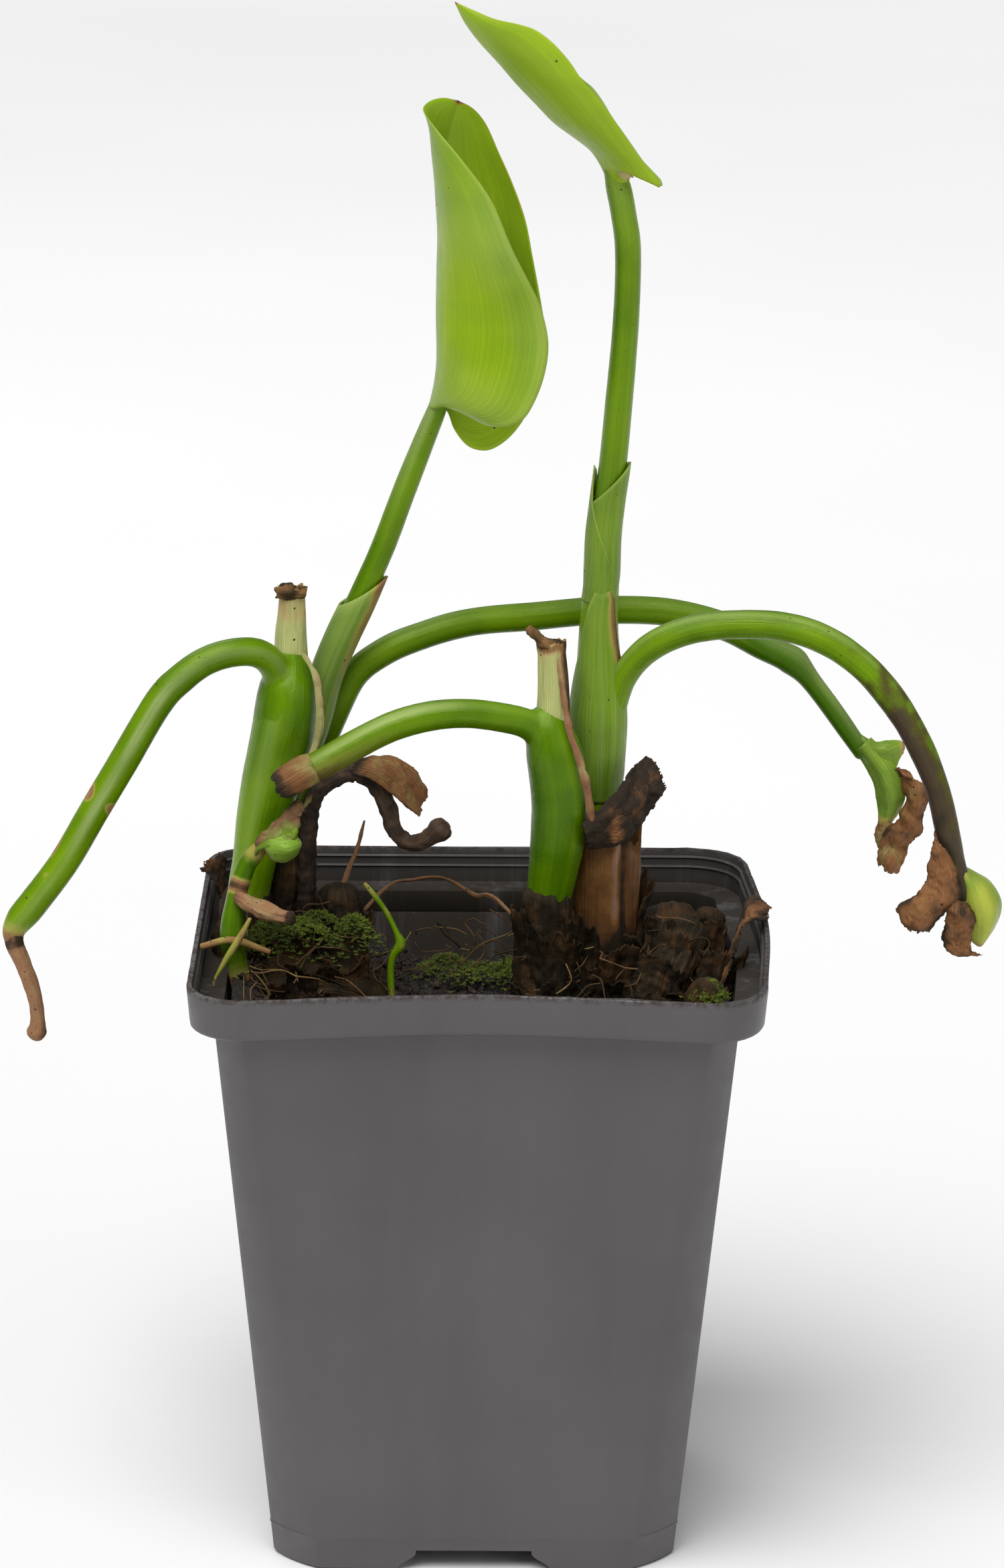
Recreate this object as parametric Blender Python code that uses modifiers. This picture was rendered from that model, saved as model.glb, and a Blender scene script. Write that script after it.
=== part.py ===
"""A potted pickerelweed in an 11 cm square pot: rolled young leaves, four arching leaf stalks
that have lost their blades, and old leaf bases standing in the soil.

Every measure below is in millimetres, seen from the pot's own axis with the pot's feet on z = 0.
mm() turns them into metres and moves the whole plant so that its overall box stands centred on
the origin. A route station is (x, y, z, radius), and the front of the pot faces -Y.
"""

import math

import bmesh
import bpy
from mathutils import Vector

MM = 0.001
BOX_CENTRE = (4.93, 0.27)
GAP = 0.3

# Pot
RIM_WIDTH = 110.0
RIM_HEIGHT = 120.6
RIM_CORNER = 11.7
LIP_BOTTOM = 112.3
LIP_DRAFT = 0.7
BODY_TOP_WIDTH = 99.3
BODY_FOOT_WIDTH = 78.4
CHAMFER_TOP = 5.6
CHAMFER_FOOT = 9.0
WALL = 1.1
FRONT_BOW = 5.0
RIGHT_BULGE = 2.4
FOOT_HEIGHT = 4.2
NOTCH_TOP = 22.6
NOTCH_FOOT = 29.5
DRAIN_HOLE = 7.0
DRAIN_SPACING = 23.0
DRAIN_SIDES = 12
CORNER_STEPS = 4
SIDE_STEPS = 4

# Soil
SOIL_FLOOR = 6.2
SOIL_LEVEL = 104.0
SOIL_DIP = 6.0
SOIL_RINGS = (1.0, 0.84, 0.66, 0.48, 0.3, 0.14)

# Stalks and leaves
STATION_STEP = 8.0
THIN_RADIUS = 2.7
BLADE_THICKNESS = 0.8
DEAD_THICKNESS = 0.9

LEFT_STEM = [
    (-46.2, 2.8, 114.8, 3.8), (-45.2, 2.5, 124, 4.1), (-43.8, 2, 132, 4.4), (-42.6, 2, 138.7, 5.0),
    (-41.3, 2, 144.5, 5.5), (-39.8, 2, 151, 6.0), (-37.8, 2, 159, 6.4), (-36.9, 2.6, 165.5, 6.2),
    (-36.6, 3.6, 169.6, 5.2), (-36.5, 4.4, 172.2, 3.6),
]
LEFT_ARCH = [
    (-38.4, 2, 160, 3.0), (-38.4, 1.5, 166, 3.0), (-39.6, 0.5, 171.6, 2.95), (-42.8, -1.3, 174.9, 2.9),
    (-47.9, -3, 175.3, 2.85), (-52.9, -4, 173.8, 2.85), (-57.4, -5, 170.7, 2.95), (-61.7, -6, 166.3, 3.0),
    (-68.9, -8, 154.8, 3.0), (-75.1, -9, 145, 3.0), (-80.8, -10, 135.4, 3.0), (-86.4, -11, 127.2, 3.0),
    (-89.3, -11, 123.6, 2.9), (-90.3, -11, 121.4, 2.2),
]
LEFT_DRY_END = [
    (-90.4, -11, 121.4, 2.0), (-90.1, -11, 118.6, 1.7), (-87.8, -11, 113.7, 1.35), (-86.5, -11, 109.6, 1.3),
    (-85.8, -11, 104.8, 1.3), (-85.7, -11, 101.8, 1.5), (-85.9, -11, 99.8, 1.9), (-86.0, -11, 98.4, 1.8),
]
LEFT_STUB = [
    (-36.4, 6.2, 172.8, 2.9), (-36.7, 6.4, 176, 2.8), (-36.5, 6.2, 180, 2.3), (-36.4, 6, 184, 1.8),
    (-36.6, 5.8, 186, 2.3), (-37.0, 5.5, 187.5, 2.2),
]
LEAF_ONE_SHEATH = [
    (-42.3, 10.8, 115.5, 2.5), (-41.0, 10.6, 130, 2.7), (-38.6, 10.5, 141, 2.8), (-34.6, 10.4, 151.5, 3.0),
    (-32.0, 10.2, 159, 3.0), (-29.7, 10, 168, 3.0), (-26.8, 10, 175.3, 3.0), (-23.4, 10, 182.6, 3.0),
]
LEAF_ONE_PETIOLE = [
    (-26.4, 10, 176.3, 2.3), (-22.2, 10, 185.4, 2.4), (-18.3, 10, 194.6, 2.35), (-14.3, 9, 205.7, 2.25),
    (-10.7, 8, 215.2, 2.1), (-8.4, 6.9, 221.2, 1.9), (-7.4, 6.2, 223.6, 1.7),
]
BACK_ARCH = [
    (-36.6, 17, 115.5, 2.5), (-36.2, 17, 126, 2.6), (-34.6, 16.6, 139, 2.7), (-31.6, 16, 150, 2.75),
    (-28.5, 15.4, 158.3, 2.75), (-24.5, 15.4, 166.4, 2.75), (-19.1, 16, 170.8, 2.75), (-12.6, 17, 173.7, 2.75),
    (-2.0, 19.5, 176.3, 2.75), (11.3, 22, 177.1, 2.8), (24.6, 24, 177.9, 2.8), (37.8, 25, 177.3, 2.8),
    (48.5, 25, 174.6, 2.8), (56.5, 24, 170.7, 2.7), (61.6, 24, 168.3, 2.6), (63.9, 24, 166.4, 2.3),
    (67.0, 24, 162.6, 2.0), (71.4, 23, 156.8, 1.95), (76.6, 22, 149.6, 1.7),
]
REMNANT_UPPER = [
    (77.1, 22, 148.9, 1.7), (79.6, 22, 147.6, 1.9), (81.8, 22, 148.8, 1.8), (84.2, 22, 151.4, 1.3),
]
REMNANT_LOWER = [
    (78.6, 22, 148, 1.6), (81.0, 21.8, 144, 2.2), (82.4, 21.5, 140, 2.0), (81.6, 21.5, 137, 1.5),
    (80.6, 21.5, 135, 0.8),
]
DEAD_STALK = [
    (-34.0, 4, 115, 1.8), (-33.4, 3, 129, 1.7), (-33.0, 2, 138.7, 1.65), (-32.2, 1, 145, 1.65),
    (-29.2, 0, 148.8, 1.7), (-24.0, 0, 150.9, 1.75), (-20.1, 0, 148.6, 1.7), (-17.7, -1, 144.4, 1.65),
    (-16.1, -1, 139.2, 1.6), (-13.3, -1, 136.9, 1.6), (-9.8, -2, 137.9, 1.7), (-6.9, -3, 140.6, 1.8),
]
SMALL_LEFT_STEM = [
    (-44.6, -12.6, 104, 1.9), (-46.4, -13.8, 114.8, 2.1), (-47.5, -14, 121.6, 2.3), (-46.8, -13, 128.8, 1.9),
    (-45.0, -12, 134.6, 1.8), (-43.6, -12, 136.8, 1.8), (-41.4, -12.6, 139.6, 1.4),
]
BENT_DRY_END = [
    (-45.9, -15.7, 129.6, 1.2), (-42.4, -17.4, 128.2, 1.7), (-39.1, -19, 127.3, 1.6), (-35.8, -20.5, 126.9, 1.3),
]
FRONT_STEM = [
    (13.0, -5.5, 112, 3.6), (13.6, -5.7, 124, 4.2), (15.0, -6, 134, 5.0), (16.0, -6, 142, 5.7),
    (16.2, -6, 147, 5.9), (15.6, -6, 152, 5.8), (14.6, -6, 157, 5.4), (13.8, -5.7, 161, 4.6),
    (13.4, -5, 164, 3.4),
]
FRONT_ARCH = [
    (14.0, -6, 153, 3.0), (12.8, -6.2, 158.8, 3.0), (9.9, -7, 162.2, 2.95), (5.5, -8, 163.8, 2.9),
    (-1.9, -9, 165, 2.9), (-9.1, -10, 164.7, 2.95), (-16.4, -11, 162.9, 2.95), (-23.7, -12, 159.4, 2.95),
    (-29.8, -13, 156, 2.95), (-33.0, -13.6, 154.4, 2.9),
]
FRONT_DRY_CAP = [
    (-33.5, -13.7, 154.15, 2.9), (-35.6, -14, 153.2, 3.2), (-37.2, -14.2, 152.5, 3.0), (-38.6, -14.3, 151.6, 2.0),
]
RIGHT_STUB = [
    (13.2, -4.4, 164.8, 2.8), (13.6, -3.6, 169, 2.7), (13.6, -3.2, 174.1, 2.4), (13.3, -3, 178.2, 2.0),
]
MAIN_STEM = [
    (25.0, 4.5, 128, 4.3), (25.2, 4.5, 136, 4.7), (25.1, 4.5, 143, 5.1), (24.6, 4.5, 151, 5.6),
    (24.3, 4.6, 160, 5.8), (24.0, 5, 166, 5.1), (23.6, 5, 171, 4.3), (23.3, 5, 180, 3.7),
    (23.9, 5, 188.4, 3.3),
]
UPPER_SHEATH = [
    (23.95, 5, 188.9, 3.3), (24.2, 5, 197, 3.25), (24.9, 4.8, 204, 3.4), (25.7, 4.3, 210.5, 3.5),
]
LEAF_TWO_PETIOLE = [
    (24.4, 5, 199, 2.5), (25.1, 4.7, 206, 2.6), (25.9, 4, 213, 2.65), (26.8, 3, 224.4, 2.6),
    (27.9, 2, 240.2, 2.5), (28.1, 1, 253.4, 2.5), (27.2, 0.4, 260.5, 2.4), (25.6, 0, 266.4, 2.4),
    (24.7, 0, 268.6, 2.1), (23.4, 0, 270.8, 1.6),
]
RIGHT_ARCH = [
    (27.4, 4, 157, 2.3), (28.9, 3.5, 165, 2.5), (30.9, 2.5, 171.8, 2.6), (35.1, 1.2, 176.5, 2.7),
    (41.5, 0, 179.8, 2.8), (49.9, -1, 181.1, 2.8), (59.2, -2, 180.8, 2.8), (67.3, -3, 178.4, 2.85),
    (74.5, -4, 173.6, 2.85), (80.7, -5, 166.7, 2.8), (85.4, -6, 158.9, 2.6), (89.2, -7, 150.1, 2.4),
    (91.1, -8, 141.6, 2.0), (92.3, -8, 135.2, 1.7), (93.2, -8.8, 130.6, 1.3),
]
BROWN_SHEATH = [
    (24.8, 1.0, 117.6, 6.0), (24.8, 1.2, 124, 6.4), (24.8, 1.4, 132, 6.9), (24.8, 1.6, 139.5, 7.2),
]
RIGHT_CROWN = [
    [(19, -1, 97, 9.5), (19, -1, 104, 9.5), (19.5, -1, 112, 8.5), (19.5, -1, 116.6, 7)],
    [(12.8, -6, 98, 6), (13, -6, 112, 5.6), (13.4, -6, 121, 5.2), (13.6, -6, 127.5, 5.0)],
    [(24.4, 1, 98, 6.4), (24.8, 1, 117.2, 6.4)],
]
LEFT_CROWN = [
    [(-46, 3, 98, 6.4), (-46.3, 3, 112, 5.8), (-45.6, 2.6, 120, 5.3), (-45.2, 2.5, 124.5, 5.0)],
    [(-38, 7, 98, 5.5), (-37.6, 6.6, 120, 4.2), (-37, 6.2, 130, 3.7), (-36.6, 6, 137.5, 2.9)],
    [(-41, 12.6, 98, 8.5), (-41, 12.8, 108, 8.5), (-39.8, 13.5, 116, 7.4), (-39.4, 13.6, 119, 5.8)],
    [(-46, -5, 104.5, 5), (-38, -6, 107, 7.2), (-28, -5, 107, 7.2), (-21, -4, 104.5, 5)],
    [(-26.2, 0, 98, 5.4), (-26.4, 0.5, 112, 4.9), (-26.8, 1.5, 120, 4.4), (-27, 2, 125.4, 4.1)],
]
DECAYED_CLUMP = [
    [(38, 2, 98, 9), (38, 3, 108, 9.2), (38.5, 6, 114, 8), (38, 9, 118, 6)],
    [(33, -9, 100, 4.6), (37, -4, 110, 4.8), (42, 2, 118, 4.2)],
    [(48, 4, 98, 4.6), (48.4, 6, 112, 4.4), (48.2, 8, 119.5, 3.4)],
]
MOSSY_STUMP = [(42.8, -27, 98, 3.5), (43.4, -28, 112, 3.4), (44.6, -28.6, 116, 2.8)]
THIN_DRY_STEM = [(-27.1, 2, 125.9, 0.9), (-25.4, 2, 129.4, 0.8), (-23.8, 2, 134.7, 0.6), (-22.2, 2, 140.4, 0.4)]
SMALL_GREEN_STEM = [
    (-21.4, -1, 126.4, 0.8), (-18.1, -1.4, 121.9, 1.0), (-15.6, -2, 117.4, 1.1), (-15.4, -2.2, 113, 1.1),
    (-16.2, -2.6, 102, 1.0),
]
MOSSY_STICK = [(-53.2, -18.2, 120.6, 0.9), (-47.4, -17.4, 121.8, 0.9), (-40.2, -17.6, 119.8, 0.8)]
YELLOW_BLADE = [(-43.4, -19.6, 126.0, 0.6), (-46.4, -21, 119, 0.7), (-46.0, -22, 104, 0.7)]
LONG_ROOT = [
    (-22.2, 3.2, 122.6, 0.5), (-19.2, 8, 124.4, 0.6), (-13.1, 14, 125.0, 0.6), (-5.5, 16, 124.6, 0.65),
    (-0.4, 14, 122.4, 0.65), (4.1, 8, 122.8, 0.6), (7.4, 0, 121.6, 0.55), (11.5, -4, 119.4, 0.5),
]

# The two blades: each line runs from where the stalk joins to the tip
LEAF_ONE_LINES = {
    "front margin": [
        (-6.0, 2.0, 224.2), (-2.7, -0.5, 222.1), (0.5, -3, 220.8), (3.6, -5, 220.5), (6.6, -6, 221.2),
        (9.2, -6.4, 223.4), (11.9, -5.6, 229.4), (13.0, -4.6, 236.2), (11.7, -5.4, 243.1),
        (9.6, -7.4, 248.2), (5.9, -9.2, 255.7), (1.9, -9.8, 265.0), (-3.4, -8.8, 272.1),
        (-7.8, -6, 276.9), (-10.9, -1, 280.3), (-10.1, 3, 281.6), (-7.4, 6, 282.0), (-4.9, 7.6, 281.1),
    ],
    "front bulge": [
        (-7.6, 3.0, 224.6), (-7.4, -3, 226.5), (-8.2, -7, 230.5), (-9.0, -10, 237), (-9.2, -11, 244),
        (-9.0, -12, 252), (-9.2, -12, 260), (-10.2, -9, 268), (-11.4, -4, 275), (-9.0, 3, 280.2),
        (-5.4, 7.2, 281.0),
    ],
    "midrib": [
        (-6.6, 5.6, 224.9), (-7.2, 6.6, 231.6), (-7.4, 7.4, 240.5), (-7.2, 8, 249.4), (-7.0, 8.2, 258.4),
        (-6.8, 8.4, 267.4), (-6.1, 8.4, 274.1), (-4.6, 8, 280.7),
    ],
    "back bulge": [
        (-6.2, 6.0, 224.4), (-4.2, 10, 224.5), (-1.0, 13, 230), (1.0, 14, 238), (1.6, 14, 247),
        (1.4, 13.6, 256), (0.4, 12.6, 265), (-1.6, 11, 273), (-4.2, 8.2, 280.4),
    ],
    "back margin": [
        (-6.0, 5.8, 223.8), (-5.6, 6, 219.6), (-4.7, 6.4, 217.4), (-2.3, 7, 214.4), (0.7, 7.2, 213.4),
        (3.3, 7, 214.2), (6.3, 6.8, 216.7), (9.1, 6, 221.0), (11.2, 5, 226.4), (12.3, 4, 231.6),
        (12.3, 3, 238.0), (11.7, 3, 242.4), (9.9, 4, 251.8), (8.4, 5, 259.0), (5.9, 6, 265.8),
        (3.3, 7, 271.5), (0.9, 8, 276.7), (-1.6, 8.2, 279.7), (-4.2, 8.1, 280.7),
    ],
}
LEAF_TWO_LINES = {
    "front margin": [
        (24.4, -3.4, 270.2), (26.6, -4.2, 268.8), (29.4, -4.8, 269.0), (31.8, -5.2, 268.3),
        (33.6, -5.4, 267.2), (34.2, -5.8, 268.2), (30.5, -7, 272.5), (27.1, -8.5, 277.4),
        (23.7, -10, 282.4), (18.6, -11, 288.6), (14.5, -10, 293.9), (12.4, -9, 295.8), (9.8, -7.5, 297.3),
        (6.8, -6, 298.1), (2.4, -4, 298.8), (-1.6, -2, 300.1), (-4.6, -0.4, 301.2),
    ],
    "front bulge": [
        (23.4, -2.6, 270.4), (24.0, -5.4, 272.4), (21.6, -8, 275.6), (17.6, -9, 279.4), (13.0, -8.8, 284.4),
        (8.4, -7.4, 288.6), (4.4, -5.2, 292.4), (0.4, -3, 296.2), (-4.4, -0.4, 300.9),
    ],
    "midrib": [
        (22.6, 0, 271.4), (20.6, 1, 273.9), (17.1, 1, 276.4), (13.7, 1, 278.9), (10.3, 1, 282.3),
        (6.9, 1, 285.9), (3.5, 1, 289.8), (-0.6, 1, 294.3), (-3.3, 0.4, 298.0), (-4.9, 0, 301.0),
    ],
    "back bulge": [
        (23.4, 2.8, 270.4), (24.0, 6.4, 271.4), (21.6, 9, 274.4), (17.6, 10, 278.4), (13.0, 9.4, 283.0),
        (8.4, 7.6, 287.2), (4.4, 5.4, 291.2), (0.4, 3, 295.4), (-4.4, 0.4, 300.7),
    ],
    "back margin": [
        (24.4, 3.4, 269.4), (26.6, 5, 268.4), (29.5, 6.4, 268.2), (31.5, 7.4, 267.2), (32.6, 8, 266.8),
        (30.2, 9, 270.7), (27.0, 10, 275.4), (24.7, 10.5, 278.7), (23.1, 11, 281.3), (21.3, 11, 283.7),
        (18.5, 11, 286.1), (14.8, 9, 289.5), (10.8, 7, 292.5), (6.4, 5, 295.2), (1.9, 3, 297.6),
        (-4.6, 0.4, 300.9),
    ],
}
BLADE_LENGTH_CELLS = 13
BLADE_WIDTH_CELLS = 8

# Dead leaves as coarse cages: each row runs across the piece
BACK_DRY_BLADE = [
    [(83.9, 20.5, 147.6), (85.2, 18.5, 147.8), (87.0, 17.5, 145.8)],
    [(85.4, 21.5, 143.0), (87.4, 18.5, 142.5), (89.4, 18.5, 140.2)],
    [(85.0, 20.5, 138.2), (86.8, 18, 137.0), (88.8, 18, 135.8)],
    [(80.4, 19.5, 133.2), (83.6, 17.0, 132.8), (86.6, 18, 131.5)],
    [(80.0, 20, 129.8), (82.4, 17.0, 129.0), (85.4, 18, 128.0)],
    [(80.6, 19.5, 127.0), (82.4, 18, 125.0), (84.2, 18.5, 126.0)],
]
DEAD_BLADE = [
    [(-24.8, -2.8, 151.4), (-23.6, 0.3, 153.4), (-22.0, 3.2, 152.4)],
    [(-20.9, -3.4, 149.9), (-19.0, 0.3, 152.8), (-17.5, 3.6, 153.0)],
    [(-16.6, -3.8, 147.2), (-15.0, 0, 150.4), (-13.8, 3.4, 151.4)],
    [(-13.4, -3.2, 144.2), (-12.0, 0, 147.2), (-10.6, 2.8, 148.0)],
    [(-11.6, -1.8, 142.2), (-10.6, 0.2, 144.4), (-9.8, 1.6, 145.2)],
]
SMALL_LEFT_LEAF = [
    [(-43.0, -12.6, 139.6), (-41.8, -14.4, 140.2), (-40.4, -13.2, 138.9)],
    [(-42.6, -11, 142.4), (-40.2, -14.4, 142.6), (-37.6, -14.4, 138.4)],
    [(-39.9, -10.5, 146.2), (-37.8, -14, 144.8), (-35.4, -13.5, 139.6)],
    [(-36.0, -10.5, 148.4), (-34.6, -12.6, 146.8), (-33.2, -12, 143.6)],
    [(-32.6, -10.6, 149.8), (-31.8, -11.6, 149.0), (-31.4, -11.2, 147.4)],
]
RIM_LEAF_LEFT = [
    [(-46.4, 19, 109.6), (-46.2, 24, 108.9), (-45.8, 29, 108)],
    [(-46.8, 20, 112.6), (-46.6, 25, 112.6), (-46.0, 30, 112.6)],
    [(-50.4, 20, 117.6), (-50.2, 25, 117.6), (-49.0, 30, 117.6)],
    [(-53.0, 21, 122.6), (-52.4, 25, 123.6), (-50.0, 29, 122.6)],
    [(-56.2, 22, 125.4), (-54.0, 25, 127), (-50.0, 27, 127.4)],
]
RIM_LEAF_RIGHT = [
    [(47.6, -10, 109.2), (47.4, -6, 110.2), (47.4, -1, 111.6)],
    [(49.8, -9, 116), (50.2, -4, 116), (50.6, 1, 116)],
    [(53.0, -6, 122.0), (53.8, 2, 123.2), (53.2, 9, 122.8)],
    [(57.6, -4, 122.2), (58.8, 4, 122.0), (56.4, 10, 122.6)],
]
DARK_CURLED_LEAF = [
    [(19.8, -12.4, 143.8), (20.6, -12.4, 141.4), (21.6, -9.6, 137.6)],
    [(23.2, -10.0, 146.4), (24.6, -10.4, 143.4), (25.6, -7.4, 137.8)],
    [(27.0, -6.6, 149.6), (28.8, -6.8, 145.8), (30.0, -4.4, 138.6)],
    [(29.8, -2, 152.4), (32.6, -2.4, 148.6), (33.2, -0.6, 142.6)],
    [(33.0, 2, 154.2), (35.6, 1, 151.6), (37.2, 0, 148)],
]
RIGHT_GREEN_LOBE = [
    [(94.4, -7.6, 134.3), (95.8, -9.6, 134.5), (97.6, -9.5, 134.0)],
    [(94.0, -8, 130.5), (96.8, -11, 130.7), (100.6, -9, 131.6)],
    [(94.2, -8, 126.5), (97.6, -11, 126.5), (102.6, -8.5, 127.0)],
    [(96.4, -8, 123.2), (98.6, -10, 122.3), (101.4, -8.5, 122.3)],
    [(97.5, -8, 119.9), (98.3, -8.6, 119.2), (99.2, -8.2, 119.6)],
]
RIGHT_DRY_BLADE = [
    [(89.4, -8.8, 141.4), (90.0, -9.8, 140.0), (91.0, -10.6, 138.4)],
    [(88.6, -9.6, 135), (90.0, -11.2, 134), (91.8, -12, 133)],
    [(86.4, -10.4, 131), (89.2, -12, 129.5), (92.4, -12, 128.4)],
    [(81.8, -12, 127.6), (87.8, -13, 125.6), (92.8, -12.2, 125)],
    [(84.0, -12, 122.8), (89.2, -13.2, 122), (94.8, -12.4, 121.6)],
    [(90.6, -12, 119.6), (93.4, -12.6, 118.0), (97.6, -12, 117.6)],
]


def mm(x, y, z):
    """A place in millimetres from the pot's axis, as a point in metres about the overall centre."""
    return Vector(((x - BOX_CENTRE[0]) * MM, (y - BOX_CENTRE[1]) * MM, z * MM))


def collection(name, hidden=False):
    found = bpy.data.collections.new(name)
    bpy.context.scene.collection.children.link(found)
    found.hide_render = hidden
    return found


def finish(obj, colour, roughness):
    """Its own material, named for the piece."""
    material = bpy.data.materials.new(obj.name)
    material.use_nodes = True
    shader = material.node_tree.nodes["Principled BSDF"]
    shader.inputs["Base Color"].default_value = (*colour, 1)
    shader.inputs["Roughness"].default_value = roughness
    shader.inputs["Metallic"].default_value = 0.0
    material.diffuse_color = (*colour, 1)
    obj.data.materials.clear()
    obj.data.materials.append(material)
    return obj


def as_cutter(obj):
    obj.hide_render = True
    obj.display_type = "WIRE"
    for home in list(obj.users_collection):
        home.objects.unlink(obj)
    CUTTERS.objects.link(obj)
    return obj


def mesh_object(name, shape):
    """A named mesh object from a bmesh, with its normals out and its faces smooth."""
    bmesh.ops.recalc_face_normals(shape, faces=shape.faces)
    mesh = bpy.data.meshes.new(name)
    shape.to_mesh(mesh)
    shape.free()
    mesh.shade_smooth()
    obj = bpy.data.objects.new(name, mesh)
    PARTS.objects.link(obj)
    return obj


def smooth_stations(stations, step=STATION_STEP):
    """Stations at most about a step apart on a Catmull-Rom curve through the given ones."""
    points = [Vector(s) for s in stations]
    points = [2 * points[0] - points[1], *points, 2 * points[-1] - points[-2]]
    found = []
    for a, b, c, d in zip(points, points[1:], points[2:], points[3:]):
        count = max(1, round((c - b).xyz.length / step))
        for i in range(count):
            t = i / count
            found.append(
                0.5 * (2 * b + (c - a) * t + (2 * a - 5 * b + 4 * c - d) * t**2
                       + (3 * b - a - 3 * c + d) * t**3)
            )
    return [*found, points[-2]]


def tube(name, stations, grow=0.0):
    """A closed tube along the stations, as a mesh. grow widens it and lengthens both ends."""
    route = smooth_stations(stations)
    if grow:
        first = (route[0] - route[1]).xyz.normalized() * grow
        last = (route[-1] - route[-2]).xyz.normalized() * grow
        route[0] = Vector((*(route[0].xyz + first), route[0].w))
        route[-1] = Vector((*(route[-1].xyz + last), route[-1].w))
    curve = bpy.data.curves.new(name, "CURVE")
    curve.dimensions = "3D"
    curve.bevel_depth = MM
    curve.bevel_resolution = 2 if max(s[3] for s in stations) < THIN_RADIUS else 3
    curve.use_fill_caps = True
    spline = curve.splines.new("POLY")
    spline.points.add(len(route) - 1)
    for point, station in zip(spline.points, route):
        point.co = (*mm(*station.xyz), 1)
        point.radius = station.w + grow
    guide = bpy.data.objects.new(name + "_curve", curve)
    PARTS.objects.link(guide)
    bpy.context.view_layer.update()
    evaluated = guide.evaluated_get(bpy.context.evaluated_depsgraph_get())
    mesh = bpy.data.meshes.new_from_object(evaluated)
    shape = bmesh.new()
    shape.from_mesh(mesh)
    bmesh.ops.remove_doubles(shape, verts=shape.verts, dist=1e-6)
    bpy.data.objects.remove(guide)
    return mesh_object(name, shape)


def twin(stations):
    """A cutter that leaves the gap all round a tube on the same stations."""
    return as_cutter(tube("room", stations, GAP))


def sheet(name, rows, thickness=DEAD_THICKNESS, levels=1):
    """A thin curved piece: a coarse cage of rows, subdivided and given its thickness."""
    shape = bmesh.new()
    grid = [[shape.verts.new(mm(*point)) for point in row] for row in rows]
    for low, high in zip(grid, grid[1:]):
        for i in range(len(low) - 1):
            shape.faces.new((low[i], low[i + 1], high[i + 1], high[i]))
    obj = mesh_object(name, shape)
    smooth = obj.modifiers.new("smooth", "SUBSURF")
    smooth.levels = smooth.render_levels = levels
    thick = obj.modifiers.new("thickness", "SOLIDIFY")
    thick.thickness = thickness * MM
    thick.offset = 0
    return obj


def bezier(a, b, c, t):
    return (1 - t) ** 2 * a + 2 * t * (1 - t) * b + t * t * c


def along(line, count):
    """Points at even distances on a smooth curve through the line's points."""
    fine = [s.xyz for s in smooth_stations([(*p, 0) for p in line], 0.8)]
    reach = [0.0]
    for a, b in zip(fine, fine[1:]):
        reach.append(reach[-1] + (b - a).length)
    found, k = [], 0
    for i in range(count + 1):
        target = reach[-1] * i / count
        while k < len(fine) - 2 and reach[k + 1] < target:
            k += 1
        t = (target - reach[k]) / max(reach[k + 1] - reach[k], 1e-9)
        found.append(fine[k].lerp(fine[k + 1], min(t, 1)))
    return found


def blade(name, lines):
    """A rolled leaf blade: two halves that bend from the midrib to their margins."""
    edge = {key: along(points, BLADE_LENGTH_CELLS) for key, points in lines.items()}
    half = BLADE_WIDTH_CELLS // 2
    shape = bmesh.new()
    grid = []
    for i in range(BLADE_LENGTH_CELLS + 1):
        row = []
        for j in range(-half, half + 1):
            side = "front" if j < 0 else "back"
            place = bezier(edge["midrib"][i], edge[side + " bulge"][i], edge[side + " margin"][i], abs(j) / half)
            row.append(shape.verts.new(mm(*place)))
        grid.append(row)
    for low, high in zip(grid, grid[1:]):
        for j in range(len(low) - 1):
            shape.faces.new((low[j], low[j + 1], high[j + 1], high[j]))
    obj = mesh_object(name, shape)
    thick = obj.modifiers.new("thickness", "SOLIDIFY")
    thick.thickness = BLADE_THICKNESS * MM
    thick.offset = 0
    return obj


def boolean(obj, other, operation):
    step = obj.modifiers.new(operation.lower(), "BOOLEAN")
    step.operation = operation
    step.object = other
    step.solver = "EXACT"
    return obj


def fused(name, routes):
    """Several tubes grown into one piece."""
    body = tube(name, routes[0])
    for route in routes[1:]:
        boolean(body, as_cutter(tube(name + "_branch", route)), "UNION")
    return body


def make_room(obj, *routes):
    """Cuts the room that neighbours on these routes need."""
    for route in routes:
        boolean(obj, twin(route), "DIFFERENCE")
    return obj


def keep_in_pot(obj):
    """Trims what would reach into the pot's wall."""
    room = loft("wall_room", inner_rings(GAP, SOIL_LEVEL - 20, RIM_HEIGHT + 40))
    return boolean(obj, as_cutter(room), "INTERSECT")


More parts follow.
